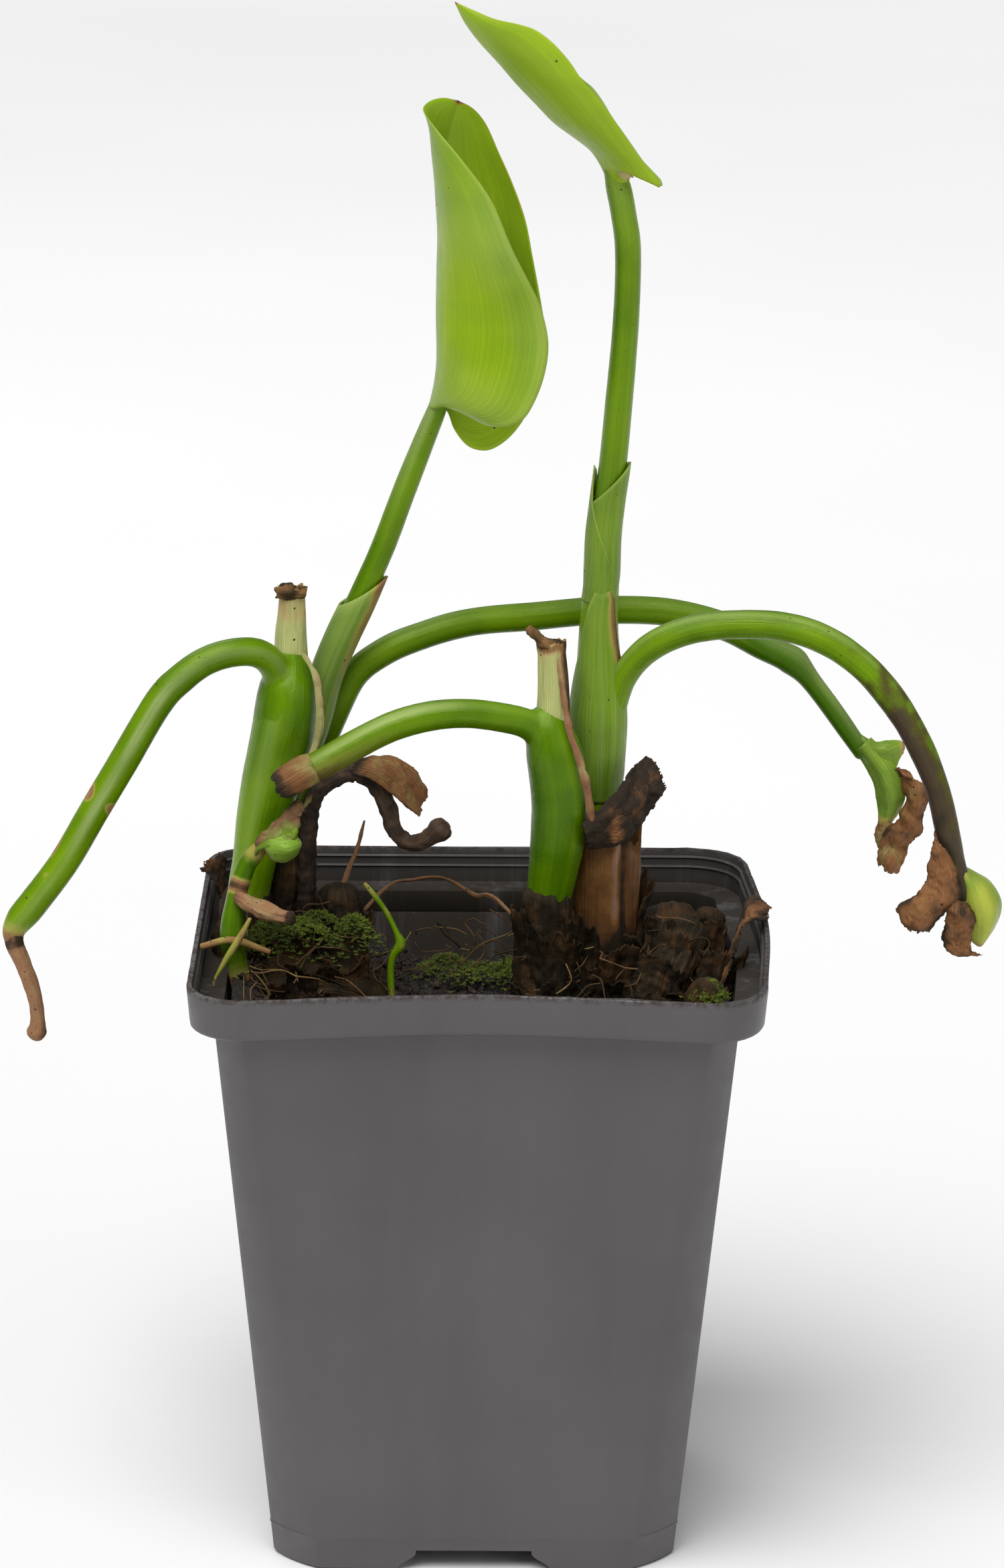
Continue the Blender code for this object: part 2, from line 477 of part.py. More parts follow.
def pot_ring(z, width, corner, roundness, share, inset=0.0):
    """One level of the pot: roundness 1 gives round corners, 0 flat chamfers, and share is how much
    of the front's bow and the right side's bulge this level has."""
    half = width / 2 - inset
    leg = max(corner - 0.6 * inset, 1.0)
    ring = []
    for quarter in range(4):
        turn = math.radians(90 * quarter)
        local = []
        for i in range(CORNER_STEPS + 1):
            t = i / CORNER_STEPS
            angle = math.pi / 2 * t
            arc = (half - leg + leg * math.cos(angle), half - leg + leg * math.sin(angle))
            flat = (half - leg * t, half - leg * (1 - t))
            local.append([roundness * a + (1 - roundness) * b for a, b in zip(arc, flat)])
        for i in range(1, SIDE_STEPS):
            local.append([(half - leg) * (1 - 2 * i / SIDE_STEPS), half])
        for x, y in local:
            ring.append([x * math.cos(turn) - y * math.sin(turn), x * math.sin(turn) + y * math.cos(turn)])
    for point in ring:
        x, y = point
        if y < -half + 0.01:
            point[1] += FRONT_BOW * share * math.cos(math.pi * x / (2 * half)) ** 2
        if x > half - 0.01:
            point[0] += RIGHT_BULGE * share * math.cos(math.pi * y / (2 * half)) ** 2
    return [mm(x, y, z) for x, y in ring]


def loft(name, rings):
    """A closed solid through rings of equal count."""
    shape = bmesh.new()
    levels = [[shape.verts.new(point) for point in ring] for ring in rings]
    for low, high in zip(levels, levels[1:]):
        for i in range(len(low)):
            j = (i + 1) % len(low)
            shape.faces.new((low[i], low[j], high[j]))
            shape.faces.new((low[i], high[j], high[i]))
    shape.faces.new(reversed(levels[0]))
    shape.faces.new(levels[-1])
    return mesh_object(name, shape)


def body_at(z, inset=0.0):
    """The tapered body's ring at a height."""
    t = min(max(z / LIP_BOTTOM, 0), 1)
    width = BODY_FOOT_WIDTH + (BODY_TOP_WIDTH - BODY_FOOT_WIDTH) * t
    corner = CHAMFER_FOOT + (CHAMFER_TOP - CHAMFER_FOOT) * t
    return pot_ring(z, width, corner, 0.3, t, inset)


def lip_at(z, inset=0.0):
    """The rim band's ring at a height."""
    drop = (RIM_HEIGHT - z) / (RIM_HEIGHT - LIP_BOTTOM)
    return pot_ring(z, RIM_WIDTH - 2 * LIP_DRAFT * drop, RIM_CORNER, 1, 1, inset)


def inner_rings(clearance=0.0, bottom=1.2, top=RIM_HEIGHT + 1):
    """The pot's inside, or a body that fits in it with a clearance."""
    inset = WALL + clearance
    return [
        body_at(bottom, inset + 0.8), body_at(bottom + 1.2, inset),
        body_at(LIP_BOTTOM + inset - 0.3, inset), lip_at(LIP_BOTTOM + inset, inset), lip_at(top, inset),
    ]


def channel(name, grow, along_x):
    """The raised channel between the feet, right across the base."""
    outline = []
    for i in range(9):
        z = (FOOT_HEIGHT + grow) * i / 8
        t = min(max((z - 0.4) / (FOOT_HEIGHT - 1.0), 0), 1)
        blend = t * t * (3 - 2 * t)
        outline.append((NOTCH_FOOT / 2 + grow + (NOTCH_TOP - NOTCH_FOOT) / 2 * blend, z))
    outline = [(outline[0][0], -2.0), *outline]
    outline += [(-x, z) for x, z in reversed(outline)]
    reach = RIM_WIDTH / 2
    shape = bmesh.new()
    ends = []
    for side in (-reach, reach):
        places = [(side, a, z) if along_x else (a, side, z) for a, z in outline]
        ends.append([shape.verts.new(mm(*place)) for place in places])
    for i in range(len(outline)):
        j = (i + 1) % len(outline)
        shape.faces.new((ends[0][i], ends[0][j], ends[1][j], ends[1][i]))
    shape.faces.new(ends[0])
    shape.faces.new(reversed(ends[1]))
    return as_cutter(mesh_object(name, shape))


def drill(name, x, y, diameter):
    """A drain hole's cutter, down through the base."""
    shape = bmesh.new()
    bmesh.ops.create_cone(
        shape, cap_ends=True, segments=DRAIN_SIDES, radius1=diameter / 2 * MM, radius2=diameter / 2 * MM, depth=16 * MM
    )
    bmesh.ops.translate(shape, verts=shape.verts, vec=mm(x, y, 0))
    return as_cutter(mesh_object(name, shape))


def make_pot():
    lip = [lip_at(LIP_BOTTOM, 0.9), lip_at(LIP_BOTTOM + 0.8), lip_at(RIM_HEIGHT - 0.3), lip_at(RIM_HEIGHT, 0.25)]
    outer = [body_at(0, 0.8), body_at(0.9), body_at(LIP_BOTTOM - 0.01)]
    pot = loft("pot", outer + lip)
    inside = as_cutter(loft("pot_inside", inner_rings()))
    for along_x in (False, True):
        boolean(inside, channel("channel_floor", WALL, along_x), "DIFFERENCE")
        boolean(pot, channel("channel", 0.0, along_x), "DIFFERENCE")
    boolean(pot, inside, "DIFFERENCE")
    corners = [(x, y) for x in (-1, 1) for y in (-1, 1)]
    for x, y in [*corners, (0, 0)]:
        boolean(pot, drill("drain", x * DRAIN_SPACING, y * DRAIN_SPACING, DRAIN_HOLE), "DIFFERENCE")
    return finish(pot, (0.105, 0.097, 0.095), 0.42)


def mound(x, y, at_x, at_y, height, spread):
    return height * math.exp(-((x - at_x) ** 2 + (y - at_y) ** 2) / spread**2)


def soil_height(x, y):
    """Higher in the left and right of the pot, and lower at the middle of the back."""
    lumps = 0.7 * math.sin(0.31 * x + 1.2) * math.cos(0.27 * y) + 0.5 * math.sin(0.53 * y + 0.2 * x)
    level = SOIL_LEVEL + mound(x, y, -50, 8, 7, 20) + mound(x, y, 48, 8, 7, 18)
    return level + mound(x, y, 0, 52, -SOIL_DIP, 26) + lumps


def soil_ring(outline, share, lift):
    """The soil's surface on an outline drawn in towards the pot's axis."""
    ring = []
    for place in outline:
        x, y = share * (place.x / MM + BOX_CENTRE[0]), share * (place.y / MM + BOX_CENTRE[1])
        ring.append(mm(x, y, soil_height(x, y) + lift))
    return ring


def soil_body(name, lift=0.0, spread=0.0):
    """The pot's inside shape up to the soil's uneven surface. A cutter is lifted, and spread at its side."""
    inset = WALL + GAP + 0.1
    outline = body_at(SOIL_LEVEL - SOIL_DIP - 1, inset)
    surface = [soil_ring(outline, share, lift) for share in SOIL_RINGS]
    side = [body_at(SOIL_FLOOR, inset + 0.8 - spread), body_at(SOIL_FLOOR + 1.2, inset - spread)]
    if spread:
        side.append(soil_ring(body_at(SOIL_LEVEL - SOIL_DIP - 1, inset - spread), 1.0, lift))
    return loft(name, side + surface)


def stand_on_soil(obj):
    """Ends a piece just above the soil's surface."""
    return boolean(obj, as_cutter(soil_body("soil_room", GAP, 4.0)), "DIFFERENCE")


def make_soil():
    return finish(soil_body("soil"), (0.022, 0.017, 0.013), 0.9)


def make_left_shoot():
    green = (0.105, 0.29, 0.02)
    brown = (0.09, 0.06, 0.035)
    tan = (0.36, 0.17, 0.08)
    finish(fused("left_arching_stalk", [LEFT_STEM, LEFT_ARCH]), green, 0.35)
    finish(make_room(tube("left_dry_end", LEFT_DRY_END), LEFT_ARCH), tan, 0.7)
    stub = make_room(tube("left_stub", LEFT_STUB), LEFT_ARCH, LEFT_STEM)
    finish(stub, (0.36, 0.36, 0.12), 0.6)
    sheath = make_room(tube("leaf_one_sheath", LEAF_ONE_SHEATH), LEAF_ONE_PETIOLE, LEFT_STEM)
    finish(sheath, (0.14, 0.33, 0.035), 0.4)
    finish(tube("leaf_one_petiole", LEAF_ONE_PETIOLE), green, 0.35)
    leaf = make_room(blade("leaf_one_blade", LEAF_ONE_LINES), LEAF_ONE_PETIOLE)
    finish(leaf, (0.19, 0.4, 0.02), 0.38)
    finish(tube("back_arching_stalk", BACK_ARCH), (0.07, 0.23, 0.03), 0.35)
    remnant = make_room(fused("back_leaf_remnant", [REMNANT_LOWER, REMNANT_UPPER]), BACK_ARCH)
    finish(remnant, (0.12, 0.33, 0.03), 0.35)
    dry = make_room(sheet("back_dry_blade", BACK_DRY_BLADE), REMNANT_LOWER, REMNANT_UPPER)
    finish(dry, (0.2, 0.08, 0.035), 0.65)
    finish(tube("dead_stalk", DEAD_STALK), brown, 0.6)
    finish(make_room(sheet("dead_blade", DEAD_BLADE), DEAD_STALK), (0.25, 0.12, 0.06), 0.65)
    crown = stand_on_soil(keep_in_pot(fused("left_root_crown", LEFT_CROWN)))
    make_room(crown, LEFT_STEM, LEAF_ONE_SHEATH, BACK_ARCH, DEAD_STALK, SMALL_LEFT_STEM, THIN_DRY_STEM)
    finish(crown, (0.05, 0.033, 0.017), 0.7)
    finish(stand_on_soil(tube("small_left_stem", SMALL_LEFT_STEM)), green, 0.4)
    small = make_room(sheet("small_left_leaf", SMALL_LEFT_LEAF), SMALL_LEFT_STEM, FRONT_DRY_CAP)
    finish(small, (0.16, 0.2, 0.05), 0.5)
    finish(make_room(tube("bent_dry_end", BENT_DRY_END), SMALL_LEFT_STEM), tan, 0.6)
    finish(sheet("rim_leaf_left", RIM_LEAF_LEFT), (0.06, 0.035, 0.022), 0.75)


def make_right_shoot():
    green = (0.105, 0.29, 0.02)
    light = (0.16, 0.36, 0.04)
    brown = (0.1, 0.05, 0.02)
    finish(fused("front_arching_stalk", [FRONT_STEM, FRONT_ARCH]), green, 0.35)
    finish(tube("front_dry_cap", FRONT_DRY_CAP), (0.06, 0.03, 0.022), 0.6)
    finish(make_room(tube("right_stub", RIGHT_STUB), FRONT_ARCH), (0.3, 0.36, 0.12), 0.55)
    finish(tube("main_stem", MAIN_STEM), light, 0.38)
    arch = make_room(tube("right_arching_stalk", RIGHT_ARCH), MAIN_STEM)
    finish(arch, green, 0.33)
    finish(make_room(tube("upper_sheath", UPPER_SHEATH), LEAF_TWO_PETIOLE), light, 0.38)
    finish(tube("leaf_two_petiole", LEAF_TWO_PETIOLE), green, 0.35)
    leaf = make_room(blade("leaf_two_blade", LEAF_TWO_LINES), LEAF_TWO_PETIOLE)
    finish(leaf, (0.17, 0.36, 0.04), 0.42)
    finish(make_room(sheet("right_green_lobe", RIGHT_GREEN_LOBE), RIGHT_ARCH), (0.14, 0.33, 0.03), 0.4)
    finish(make_room(sheet("right_dry_blade", RIGHT_DRY_BLADE), RIGHT_ARCH), (0.2, 0.08, 0.045), 0.65)
    curled = make_room(sheet("dark_curled_leaf", DARK_CURLED_LEAF), BROWN_SHEATH, FRONT_STEM)
    finish(curled, (0.04, 0.026, 0.02), 0.75)
    sheath = make_room(tube("brown_sheath", BROWN_SHEATH), MAIN_STEM, FRONT_STEM)
    finish(sheath, brown, 0.5)
    crown = stand_on_soil(fused("right_root_crown", RIGHT_CROWN))
    make_room(crown, FRONT_STEM, BROWN_SHEATH)
    finish(crown, (0.05, 0.03, 0.018), 0.7)
    clump = stand_on_soil(keep_in_pot(fused("decayed_clump", DECAYED_CLUMP)))
    make_room(clump, *RIGHT_CROWN, BROWN_SHEATH)
    finish(clump, (0.04, 0.028, 0.018), 0.75)
    finish(stand_on_soil(tube("mossy_stump", MOSSY_STUMP)), (0.07, 0.07, 0.03), 0.75)
    finish(sheet("rim_leaf_right", RIM_LEAF_RIGHT), (0.08, 0.04, 0.02), 0.7)


def make_small_growth():
    finish(tube("thin_dry_stem", THIN_DRY_STEM), (0.3, 0.2, 0.1), 0.7)
    finish(stand_on_soil(tube("small_green_stem", SMALL_GREEN_STEM)), (0.14, 0.3, 0.04), 0.5)
    finish(make_room(tube("mossy_stick", MOSSY_STICK), SMALL_LEFT_STEM), (0.1, 0.22, 0.02), 0.7)
    finish(stand_on_soil(tube("yellow_blade", YELLOW_BLADE)), (0.35, 0.36, 0.08), 0.6)
    root = make_room(tube("long_root", LONG_ROOT), *RIGHT_CROWN, LEFT_CROWN[4])
    finish(root, (0.3, 0.18, 0.11), 0.7)


for old in list(bpy.data.objects):
    bpy.data.objects.remove(old)
PARTS = collection("potted_pickerelweed")
CUTTERS = collection("cutters", hidden=True)
make_pot()
make_soil()
make_left_shoot()
make_right_shoot()
make_small_growth()
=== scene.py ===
"""Dresses the potted pickerelweed: a moulded pot, soil, old leaf bases, stalks, leaves and moss.

It is laid out as an add-on and run as a script. Routes and cages are in millimetres from the pot's
own axis with the feet on z = 0, and place() turns them into metres in the model's frame. A station is
(x, y, z, radius). Every mesh carries painted values that its material reads: "grain" runs along the
fibres, "tone" goes from deep to light green, "decay" from fresh tissue to dead, and the fourth value
holds how thick the pale waxy film lies, together with painted sheen and painted highlight stripes.
"""

import math
import random

import bmesh
import bpy
from bpy.props import FloatProperty, FloatVectorProperty, IntProperty, PointerProperty
from bpy.types import Operator, Panel, PropertyGroup
from mathutils import Matrix, Vector, kdtree, noise


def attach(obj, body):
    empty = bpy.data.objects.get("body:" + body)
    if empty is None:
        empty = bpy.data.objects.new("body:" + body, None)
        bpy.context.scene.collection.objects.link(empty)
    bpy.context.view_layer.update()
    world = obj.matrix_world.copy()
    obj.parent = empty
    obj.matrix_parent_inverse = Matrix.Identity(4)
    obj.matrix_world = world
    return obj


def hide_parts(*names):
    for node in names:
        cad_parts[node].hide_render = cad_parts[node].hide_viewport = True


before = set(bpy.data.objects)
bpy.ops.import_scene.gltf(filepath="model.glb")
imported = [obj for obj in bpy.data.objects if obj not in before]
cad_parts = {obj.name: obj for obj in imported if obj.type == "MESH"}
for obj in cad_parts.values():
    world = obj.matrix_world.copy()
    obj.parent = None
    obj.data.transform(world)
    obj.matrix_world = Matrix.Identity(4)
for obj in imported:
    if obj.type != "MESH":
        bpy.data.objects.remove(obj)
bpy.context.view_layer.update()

bl_info = {
    "name": "Potted Pickerelweed",
    "version": (1, 0, 0),
    "blender": (4, 5, 0),
    "location": "3D View > Sidebar > Pickerelweed",
    "description": "Builds the finished look of a potted pickerelweed on its solid model",
    "category": "Add Mesh",
}

MM = 0.001
BOX_CENTRE = (4.93, 0.27)
TAU = math.tau

# Pot, as the solid has it
RIM_WIDTH = 110.0
RIM_HEIGHT = 120.6
RIM_CORNER = 11.7
LIP_BOTTOM = 112.3
LIP_DRAFT = 0.7
BODY_TOP_WIDTH = 99.3
BODY_FOOT_WIDTH = 78.4
CHAMFER_TOP = 5.6
CHAMFER_FOOT = 9.0
WALL = 1.1
FRONT_BOW = 5.0
RIGHT_BULGE = 2.4
FOOT_HEIGHT = 4.2
NOTCH_TOP = 22.6
NOTCH_FOOT = 29.5
DRAIN_HOLE = 7.0
DRAIN_SPACING = 23.0
CORNER_STEPS = 8
SIDE_STEPS = 30
SEAM_HEIGHT = 7.0
SOIL_LEVEL = 104.0
SOIL_DIP = 6.0
SOIL_FLOOR = 6.2

LEFT_STEM = [
    (-46.2, 2.8, 112.8, 3.8), (-45.2, 2.5, 124, 4.1), (-43.8, 2, 132, 4.4), (-42.6, 2, 138.7, 5.0),
    (-41.3, 2, 144.5, 5.5), (-39.8, 2, 151, 6.0), (-37.8, 2, 159, 6.4), (-36.9, 2.6, 165.5, 6.2),
    (-36.6, 3.6, 169.6, 5.2), (-36.5, 4.4, 172.2, 3.6),
]
LEFT_ARCH = [
    (-38.4, 2, 160, 3.0), (-38.4, 1.5, 166, 3.0), (-39.6, 0.5, 171.6, 2.95), (-42.8, -1.3, 174.9, 2.9),
    (-47.9, -3, 175.3, 2.85), (-52.9, -4, 173.8, 2.85), (-57.4, -5, 170.7, 2.95), (-61.7, -6, 166.3, 3.0),
    (-68.6, -8, 154.8, 3.0), (-74.4, -9, 145, 3.0), (-80.0, -10, 135.4, 3.0), (-86.1, -11, 127.2, 3.0),
    (-88.9, -11, 123.7, 2.9), (-90.2, -11, 121.2, 2.4), (-90.1, -11, 119.6, 1.95),
]
LEFT_DRY_END = [
    (-90.2, -11, 120.6, 1.9), (-89.9, -11, 118.6, 1.75), (-88.4, -11, 114.8, 1.6), (-86.6, -11, 109.6, 1.5),
    (-85.8, -11, 105.0, 1.35), (-85.7, -11, 102.8, 1.55), (-85.8, -11, 101.2, 1.85), (-86.1, -11, 100.2, 1.7),
]
LEFT_STUB = [
    (-36.3, 3.6, 168, 3.2), (-36.5, 4.6, 172, 3.05), (-36.6, 5.6, 176.4, 2.8), (-36.4, 6, 180.5, 2.4),
    (-36.4, 6, 184.6, 2.2), (-36.5, 6, 187.2, 2.4),
]
LEAF_ONE_SHEATH = [
    (-42.3, 10.8, 111.5, 2.5), (-41.0, 10.6, 130, 2.7), (-38.6, 10.5, 141, 2.8), (-34.6, 10.4, 151.5, 3.0),
    (-32.0, 10.2, 159, 3.0), (-29.7, 10, 168, 3.0), (-26.8, 10, 175.3, 3.0), (-23.4, 10, 182.6, 2.9),
    (-20.4, 10, 189.6, 2.75),
]
LEAF_ONE_PETIOLE = [
    (-31.2, 10.1, 162, 2.2), (-26.4, 10, 176.3, 2.3), (-22.2, 10, 185.4, 2.4), (-18.3, 10, 194.6, 2.35),
    (-14.3, 9, 205.7, 2.25), (-10.7, 8, 215.2, 2.1), (-8.4, 6.9, 221.2, 1.9), (-7.4, 6.5, 224.6, 1.5),
    (-6.4, 7.2, 229, 0.8),
]
BACK_ARCH = [
    (-36.6, 17, 110.5, 2.5), (-36.2, 17, 126, 2.6), (-34.6, 16.6, 139, 2.7), (-31.6, 16, 150, 2.75),
    (-28.5, 15.4, 158.3, 2.75), (-24.5, 15.4, 166.4, 2.75), (-19.1, 16, 170.8, 2.75), (-12.6, 17, 173.7, 2.75),
    (-2.0, 19.5, 176.3, 2.75), (11.3, 22, 177.1, 2.8), (24.6, 24, 177.9, 2.8), (37.8, 25, 177.3, 2.8),
    (48.5, 25, 174.6, 2.8), (56.5, 24, 170.7, 2.7), (61.6, 24, 168.3, 2.6), (63.9, 24, 166.4, 2.3),
    (67.0, 24, 162.6, 2.0), (71.4, 23, 156.8, 1.95), (76.6, 22, 149.6, 1.8),
]
DEAD_STALK = [
    (-34.0, 4, 111, 1.8), (-33.4, 3, 129, 1.7), (-33.0, 2, 138.7, 1.65), (-32.2, 1, 145, 1.65),
    (-29.2, 0, 148.8, 1.7), (-24.0, 0, 150.9, 1.75), (-20.1, 0, 148.6, 1.7), (-17.7, -1, 144.4, 1.65),
    (-16.1, -1, 139.2, 1.6), (-13.3, -1, 136.9, 1.6), (-9.8, -2, 137.9, 1.7), (-6.9, -3, 140.6, 1.8),
]
SMALL_LEFT_STEM = [
    (-44.6, -12.6, 104, 1.9), (-46.4, -13.8, 114.8, 2.1), (-47.5, -14, 121.6, 2.3), (-46.8, -13, 128.8, 1.9),
    (-45.0, -12, 134.6, 1.8), (-43.6, -12, 136.8, 1.8), (-41.4, -12.6, 139.6, 1.4),
]
BENT_DRY_END = [
    (-46.3, -15.2, 129.8, 1.2), (-42.4, -17.4, 128.2, 1.7), (-39.1, -19, 127.3, 1.6), (-35.8, -20.5, 126.9, 1.3),
]
FRONT_STEM = [
    (13.0, -5.5, 110.5, 3.6), (13.6, -5.7, 124, 4.2), (15.0, -6, 134, 5.0), (16.0, -6, 142, 5.7),
    (16.2, -6, 147, 5.9), (15.6, -6, 152, 5.8), (14.6, -6, 157, 5.4), (13.8, -5.7, 161, 4.6),
    (13.4, -5, 164, 3.4),
]
FRONT_ARCH = [
    (14.0, -6, 153, 3.0), (12.8, -6.2, 158.8, 3.0), (9.9, -7, 162.2, 2.95), (5.5, -8, 163.8, 2.9),
    (-1.9, -9, 165, 2.9), (-9.1, -10, 164.7, 2.95), (-16.4, -11, 162.9, 2.95), (-23.7, -12, 159.4, 2.95),
    (-29.8, -13, 156, 2.95), (-33.0, -13.6, 154.4, 2.9),
]
FRONT_DRY_CAP = [
    (-31.6, -13.4, 155.2, 2.85), (-34.0, -13.8, 154.2, 2.9), (-36.6, -14.2, 152.7, 2.7), (-39.2, -14.4, 151.2, 2.1),
]
RIGHT_STUB = [
    (14.4, -5.6, 158, 3.1), (14.5, -5.4, 162, 3.1), (14.5, -4.6, 167, 2.85), (14.3, -3.8, 173, 2.5),
    (14.1, -3.3, 178.9, 2.15),
]
MAIN_STEM = [
    (24.4, 4.5, 126, 4.0), (24.0, 4.5, 136, 4.3), (23.4, 4.5, 143, 4.8), (23.2, 4.5, 151, 5.2),
    (23.3, 4.6, 160, 5.5), (23.5, 5, 166, 5.0), (23.5, 5, 171, 4.4), (23.4, 5, 180, 3.75),
    (23.9, 5, 188.4, 3.35),
]
UPPER_SHEATH = [
    (23.2, 5, 184, 3.3), (23.95, 5, 188.9, 3.2), (24.2, 5, 197, 3.15), (24.9, 4.8, 204, 3.1),
    (25.7, 4.3, 210.5, 3.15), (26.2, 3.8, 216, 3.15),
]
LEAF_TWO_PETIOLE = [
    (23.9, 5, 190, 2.6), (24.4, 5, 199, 2.6), (25.1, 4.7, 206, 2.65), (25.9, 4, 213, 2.7), (26.8, 3, 224.4, 2.65),
    (27.9, 2, 240.2, 2.5), (28.1, 1, 253.4, 2.5), (27.2, 0.4, 260.5, 2.45), (26.1, 0, 266.0, 2.4),
    (25.2, -0.3, 268.8, 1.9), (24.0, -0.4, 271.4, 1.2), (22.4, -0.2, 273.8, 0.6),
]
RIGHT_ARCH = [
    (24.0, 4.4, 150, 2.3), (26.6, 3.6, 164, 2.6), (29.3, 2.6, 171.2, 2.7), (34.2, 1.2, 176.4, 2.8),
    (41.5, 0, 179.8, 2.8), (49.9, -1, 181.1, 2.8), (59.2, -2, 180.8, 2.8), (67.3, -3, 178.4, 2.85),
    (74.5, -4, 173.6, 2.85), (80.7, -5, 166.7, 2.8), (85.4, -6, 158.9, 2.6), (89.2, -7, 150.1, 2.4),
    (91.3, -8, 141.6, 2.35), (92.6, -8, 135.6, 2.3), (93.9, -8.8, 131.6, 2.0), (94.8, -9.4, 128.6, 1.3),
]
BROWN_SHEATH = [(24.8, 1.0, 115.6, 6.4), (24.8, 1.2, 124, 6.6), (24.8, 1.4, 132, 6.9), (24.8, 1.6, 141.5, 7.1)]
RIGHT_CROWN = [
    [(19, -1, 97, 9.5), (19, -1, 104, 9.5), (19.5, -1, 112, 8.5), (19.5, -1, 116.6, 7)],
    [(12.8, -6, 98, 6), (13, -6, 112, 5.6), (13.4, -6, 121, 5.2), (13.6, -6, 127.5, 5.0)],
    [(24.4, 1, 98, 6.4), (24.8, 1, 117.2, 6.4)],
]
LEFT_CROWN = [
    [(-46, 3, 98, 6.0), (-46.3, 3, 112, 5.6), (-45.6, 2.6, 120, 5.3), (-45.2, 2.5, 124.5, 4.8)],
    [(-38, 7, 98, 5.5), (-37.6, 6.6, 120, 4.2), (-37, 6.2, 130, 3.7), (-36.6, 6, 137.5, 2.9)],
    [(-41, 12.6, 98, 8.5), (-41, 12.8, 108, 8.5), (-39.8, 13.5, 116, 7.4), (-39.4, 13.6, 119, 5.8)],
    [(-46, -5, 104.5, 5), (-38, -6, 107, 7.2), (-28, -5, 107, 7.2), (-21, -4, 104.5, 5)],
    [(-26.2, 0, 98, 5.4), (-26.4, 0.5, 112, 4.9), (-26.8, 1.5, 120, 4.4), (-27, 2, 125.4, 4.1)],
]
DECAYED_CLUMP = [
    [(38, 2, 98, 9), (38, 3, 108, 9.2), (38.5, 6, 114, 8), (38, 9, 118, 6)],
    [(33, -9, 100, 4.6), (37, -4, 110, 4.8), (42, 2, 118, 4.2)],
    [(44, 4, 98, 3.4), (44.4, 6, 112, 3.4), (46.2, 8, 119.5, 3.2)],
]
MOSSY_STUMP = [(42.8, -27, 98, 3.5), (43.4, -28, 112, 3.4), (44.6, -28.6, 116, 2.8)]
THIN_DRY_STEM = [(-27.1, 2, 124.2, 0.6), (-25.6, 2, 129.4, 0.5), (-23.6, 2, 134.7, 0.42), (-22.2, 2, 140.4, 0.2)]
SMALL_GREEN_STEM = [
    (-22.0, -1, 128.4, 0.4), (-19.6, -1.2, 125.4, 0.55), (-17.6, -1.4, 122.4, 0.6), (-15.8, -2, 118.8, 0.6),
    (-15.0, -2.2, 116.4, 1.05), (-16.4, -2.4, 114.2, 0.7), (-16.9, -2.4, 111, 0.6), (-16.6, -2.6, 104, 0.6),
]
MOSSY_STICK = [(-53.2, -18.2, 120.6, 0.6), (-47.4, -17.4, 121.6, 0.75), (-40.2, -17.6, 119.4, 0.5)]
YELLOW_BLADE = [
    (-43.8, -19.6, 126.6, 0.35), (-46.0, -20.4, 122.6, 0.6), (-48.6, -21, 118.4, 0.5), (-50.6, -21.2, 114.8, 0.25),
    (-50.8, -21.2, 113.6, 0.2),
]
LONG_ROOT = [
    (-22.2, 3.2, 121.8, 0.3), (-19.2, 8, 124.0, 0.34), (-16.2, 11, 125.4, 0.3), (-13.1, 14, 125.0, 0.36),
    (-9.0, 15.4, 125.2, 0.4), (-5.5, 16, 124.4, 0.36), (-0.4, 14, 122.0, 0.42), (2.0, 11, 122.9, 0.38),
    (4.1, 8, 122.6, 0.42), (7.4, 0, 121.6, 0.4), (11.5, -4, 119.4, 0.45),
]

